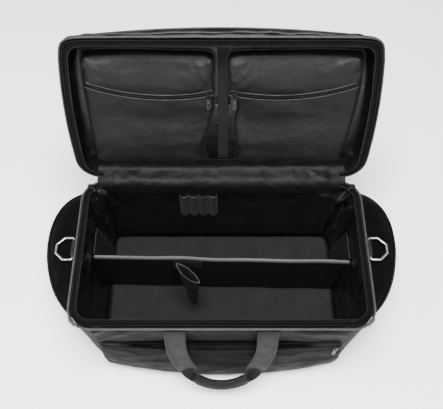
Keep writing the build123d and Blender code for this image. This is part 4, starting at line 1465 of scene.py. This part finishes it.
board_under, board_over = 0.0471, 0.0488
board_points, board_normals = outline(2 * 0.2582, 2 * 0.1372, 26 * MM)
board_rows = [(share, 0, board_under) for share in (0.03, 0.5, 0.9)]
board_rows += [(1, 0.6 * MM, board_under), (1, 0, 0.0478), (1, 0.6 * MM, 0.0487)]
board_rows += [(share, 0, board_over) for share in (0.9, 0.5, 0.03)]
stiff = plate("lid_stiffener", board_points, board_normals, board_rows)
stiff_points = np.array([v.co for v in stiff.data.vertices])
stiff.data.vertices.foreach_set("co", in_lid(stiff_points * (1, -1, 1)).ravel())
stiff.data.update()
finish_piece(stiff, board_cloth, "lid", "board_core", "lid_board")

# lining of the tray: rolled sides with long creases, and a flat floor behind the pockets
tray = []
hinge_side = smooth_step(normals[:, 1], 0.6, 1.0)
for inset, depth, loose in ((4.5, 6.3, 0.2), (7, 9, 0.8), (10, 13, 1.2), (12, 18, 1.4), (13, 24, 1.4), (13.5, 30, 1.2),
                            (14, 36, 0.9), (15, 41, 0.6), (18, 44.8, 0.3), (25, 46.2, 0.1)):
    drawn = inset * (1 - 0.68 * hinge_side)[:, None]
    p = lid_warp(with_depth(points - normals * drawn * MM, depth * MM, -1))
    n = with_depth(normals, 0, -1)
    creases = np.stack([p[:, 0] * 0.3, p[:, 1] * 0.3, p[:, 2]], -1)
    bulge = (2.8 * folds(creases, 0.016, 95) + 2.4 * ridges(creases, 0.012, 96) - 0.8) * (1 - 0.8 * hinge_side)
    tray.append(in_lid(p - n * (loose * bulge * MM)[:, None]))
tray += [in_lid(lid_warp(with_depth(points * share, 46.5 * MM, -1))) for share in (0.86, 0.72, 0.55, 0.38, 0.2, 0.04)]
tray_piece = cloth_sheet("lid_tray_lining", np.array(tray)[::-1], 0.7 * MM, close_columns=True)
finish_piece(tray_piece, lining_cloth, "lid", "lining_fabric", "lid_lining")


# ---------- lid pockets ----------

arc_radius = 0.386
arc_offset = 0.102
arc_low = 0.023


def arc_height(x, side):
    """Height in the lid of a pocket's zipper at a width."""
    return arc_low + arc_radius - np.sqrt(arc_radius ** 2 - (x - side * arc_offset) ** 2)


def closed_spline(points, count):
    """Even points on a smooth closed curve."""
    p = np.asarray(points, float)
    wrapped = np.vstack([p[-2:], p, p[:3]])
    dense = spline(wrapped, 4000)
    start = np.argmin(np.linalg.norm(dense[:1200] - p[0], axis=1))
    end = 1500 + np.argmin(np.linalg.norm(dense[1500:] - p[0], axis=1))
    return resample(dense[start:end + 1], count + 1)[:-1]


pocket_outlines = {
    1: [(12, 99), (11, 72), (12, 40), (18, 18), (27, 2), (30, -12), (24, -34), (23, -52), (28, -88), (31, -110),
        (28, -134), (45, -141), (120, -143), (200, -141.5), (232, -136), (238, -112), (247, -60), (252, -20),
        (254, 30), (253, 70), (250, 100), (238, 107), (180, 109), (90, 108), (30, 106)],
    -1: [(-12, 99), (-11, 72), (-11, 40), (-12, 12), (-14, -14), (-22, -48), (-32, -90), (-34, -115), (-27, -135),
         (-45, -141), (-120, -143), (-200, -142), (-240, -137), (-249, -112), (-252, -60), (-252, -20), (-252, 30),
         (-251, 70), (-248, 100), (-236, 108), (-180, 110), (-90, 108), (-30, 106)]}

for side, word in ((-1, "left"), (1, "right")):
    ring = closed_spline(np.array(pocket_outlines[side]) * MM, 150)
    ahead = frames_along(np.c_[ring, np.zeros(len(ring))], closed=True)
    inwards = np.stack([-ahead[:, 1], ahead[:, 0]], -1)
    if np.dot(inwards[0], (side, 0)) < 0:
        inwards = -inwards
    rings = [in_lid(with_depth(ring + inwards * inset * MM, depth * MM))
             for depth, inset in ((45.6, 1.0), (42, 0.6), (37, 1.0), (32, 2.2), (28.5, 5), (27, 9), (26.5, 15))]
    pocket = ring_solid(f"lid_pocket_{word}_cloth", rings)

    def pocket_pinned(p):
        """Sewn to the lining round its back edge."""
        return float(np.dot(np.array(p) - lid_middle, out_of_lid)) > 0.0415

    def pocket_form(p, n, side=side):
        """The face's relief: full flap, even zipper bed, a crease below it and a full lower half."""
        local = p - lid_middle
        x, y, depth = local[:, 0], local @ along_lid, local @ out_of_lid
        flat = np.stack([x, y, np.zeros(len(x))], -1)
        rise = y - arc_height(np.clip(x, -0.26, 0.26), side)
        inner = np.abs(x)
        lower = np.interp(y * 1000, [-143, -136, -112, -80, -50, -34, -22, 0, 23],
                          [27, 23.0, 18.0, 17.0, 22.5, 27.6, 28.8, 26.2, 24.4])
        upper = np.interp(rise * 1000, [0, 10, 24, 42, 60, 75, 90], [24.4, 20.5, 17.5, 19.5, 25.5, 31.5, 37])
        target = np.where(rise > 0, upper, lower)
        bed = np.exp(-(rise / 0.013) ** 4)
        streak = np.stack([x * side - y * 0.45, y * 0.22 + x * side * 0.25, np.zeros(len(x))], -1)
        pleats = ridges(streak, 0.013, 101 + side) * (1 - smooth_step(inner, 0.03, 0.085)) \
            * band(rise, 0.012, 0.06, 0.012)
        shallow = folds(flat, (0.07, 0.05, 1), 104 + side) * 1.6 + ridges(flat, (0.12, 0.05, 1), 107 + side) * 1.2
        corner = np.stack([x * side - y * 0.8, (x * side + y) * 0.2, np.zeros(len(x))], -1)
        outer = ridges(corner, 0.022, 111 + side) * smooth_step(inner, 0.16, 0.235) * band(rise, 0.014, 0.07, 0.015)
        target = target - (pleats * 7.0 + outer * 6.0 + shallow * 1.5) * (1 - bed)
        weight = (1 - smooth_step(depth, 0.0285, 0.037)) * (0.72 + 0.28 * bed)
        move = weight * (target * MM - depth)
        return move[:, None] * out_of_lid

    full_pocket(pocket, pocket_pinned, pocket_form, pocket_cloth, "lid", "pocket_fabric", f"lid_pocket_{word}",
                pressure=2.5, voxel=5 * MM, cap=5 * MM, seed=11 + side)

    # zipper: tape, coil, welts and stitching, all laid on the swollen cloth
    tree = surface_of(pocket)
    turn_in = asin((side * 0.0155 - side * arc_offset) / arc_radius)
    turn_out = asin((side * 0.2435 - side * arc_offset) / arc_radius)
    turns = np.linspace(min(turn_in, turn_out), max(turn_in, turn_out), 110)

    def arc_row(offset, lift, tree=tree, turns=turns, side=side):
        """A row of points along the zipper, in millimetres across it and off the cloth."""
        radius = arc_radius + offset * MM
        flat = np.stack([side * arc_offset + radius * np.sin(turns), arc_low + arc_radius - radius * np.cos(turns),
                         np.full(len(turns), 24 * MM)], -1)
        laid = lay_on(tree, in_lid(flat), out_of_lid, 0)
        local = (laid - lid_middle) @ out_of_lid
        level = np.convolve(np.pad(local, 6, mode="edge"), np.ones(13) / 13, mode="valid")
        flat[:, 2] = np.clip(level, 23.0 * MM, 25.0 * MM) - lift * MM
        return in_lid(flat)

    edges = ((-6.5, 0.1), (-5.8, 0.6), (-2.8, 0.8), (-2.2, 1.0), (2.2, 1.0), (2.8, 0.8), (5.8, 0.6), (6.5, 0.1))
    pocket_zipper(f"lid_zip_{{}}_{word}", arc_row, edges, lid_face, "lid", f"lid_pocket_zipper_{word}", flap_cloth,
                  0.6 * MM, 1.3, (-5.6, 0.7, 1.1 * MM, piping_cloth, "pocket_fabric"), (-7.6, 1.0))

    # bound edge of the pocket, sewn down round its foot
    foot = in_lid(with_depth(ring - inwards * 0.4 * MM, 44.6 * MM))
    finish_piece(sweep(f"lid_pocket_binding_{word}", foot, circle(1.2 * MM, 8), lid_face, closed=True), piping_cloth,
                 "lid", "pocket_fabric")

# centre strip of webbing, box-stitched at its foot
ys = np.linspace(-0.134, 0.118, 60)
xs = np.array([-9.5, -9.0, -4, 0, 4, 9.0, 9.5]) * MM
heights = np.array([46.0, 44.9, 44.6, 44.5, 44.6, 44.9, 46.0]) * MM
grid = np.array([[(x + 3 * MM, y, h - 0.4 * MM * sin(y * 60)) for x, h in zip(xs, heights)] for y in ys])
strip = cloth_sheet("lid_centre_strip", in_lid(grid)[::-1], 1.0 * MM)
finish_piece(strip, strap_web, "lid", "webbing", "lid_strip")
lines = [(in_lid(np.array([(x * MM + 3 * MM, y, 44.3 * MM) for y in ys])), lid_face) for x in (-6.5, 6.5)]
corners = [(-6, -88), (6, -88), (6, -112), (-6, -112), (-6, -88), (6, -112), (6, -88), (-6, -112)]
box_line = resample(np.array([(x + 3, y, 44.1) for x, y in corners]) * MM, 120)
lines.append((in_lid(box_line), lid_face))
stitch_lines("lid_strip_stitching", lines, "lid")


# ---------- floor, light and camera ----------

def studio_material(name, colour, roughness):
    """Plain studio surface with a faint unevenness."""
    material, tree, shader = shader_tree(name)
    dye(tree, shader, colour, noise_map(tree, 0.5, 2, 0.995, 1.005))
    set_inputs(shader, Roughness=roughness)
    return material


floor_half = 6.0
floor_z = -0.6 * MM
floor = make_object("floor", [(x * floor_half, y * floor_half, floor_z) for x, y in
                              ((-1, -1), (1, -1), (1, 1), (-1, 1))], [(0, 1, 2, 3)])
floor.data.materials.append(studio_material("floor_paper", (0.93, 0.93, 0.93), 0.9))

world = bpy.data.worlds.new("studio")
world.use_nodes = True
set_inputs(world.node_tree.nodes["Background"], Color=(1.0, 1.0, 1.0, 1), Strength=0.6)
bpy.context.scene.world = world


def soft_light(name, place, target, size, power, colour=(1, 1, 1)):
    """A large area light aimed at a point."""
    light = bpy.data.lights.new(name, "AREA")
    light.shape = "RECTANGLE"
    light.size, light.size_y = size
    light.energy = power
    light.color = colour
    obj = bpy.data.objects.new(name, light)
    obj.location = place
    obj.rotation_euler = (Vector(target) - Vector(place)).to_track_quat("-Z", "Y").to_euler()
    link(obj)


soft_light("top", (0.0, -0.3, 2.4), (0, 0, 0.1), (1.1, 0.8), 190)
soft_light("front", (0.3, -2.0, 1.6), (0, 0, 0.2), (1.4, 0.7), 44)
soft_light("left", (-1.9, -0.4, 1.3), (0, 0, 0.2), (1.0, 1.4), 30)

camera_data = bpy.data.cameras.new("camera")
camera_data.lens = 50.84
camera_data.sensor_width = 36
camera_data.clip_end = 50
camera = bpy.data.objects.new("camera", camera_data)
camera.location = (0, -0.5106, 1.2742)
camera.rotation_euler = (radians(30.1), 0, 0)
link(camera)
bpy.context.scene.camera = camera

bpy.context.view_layer.update()
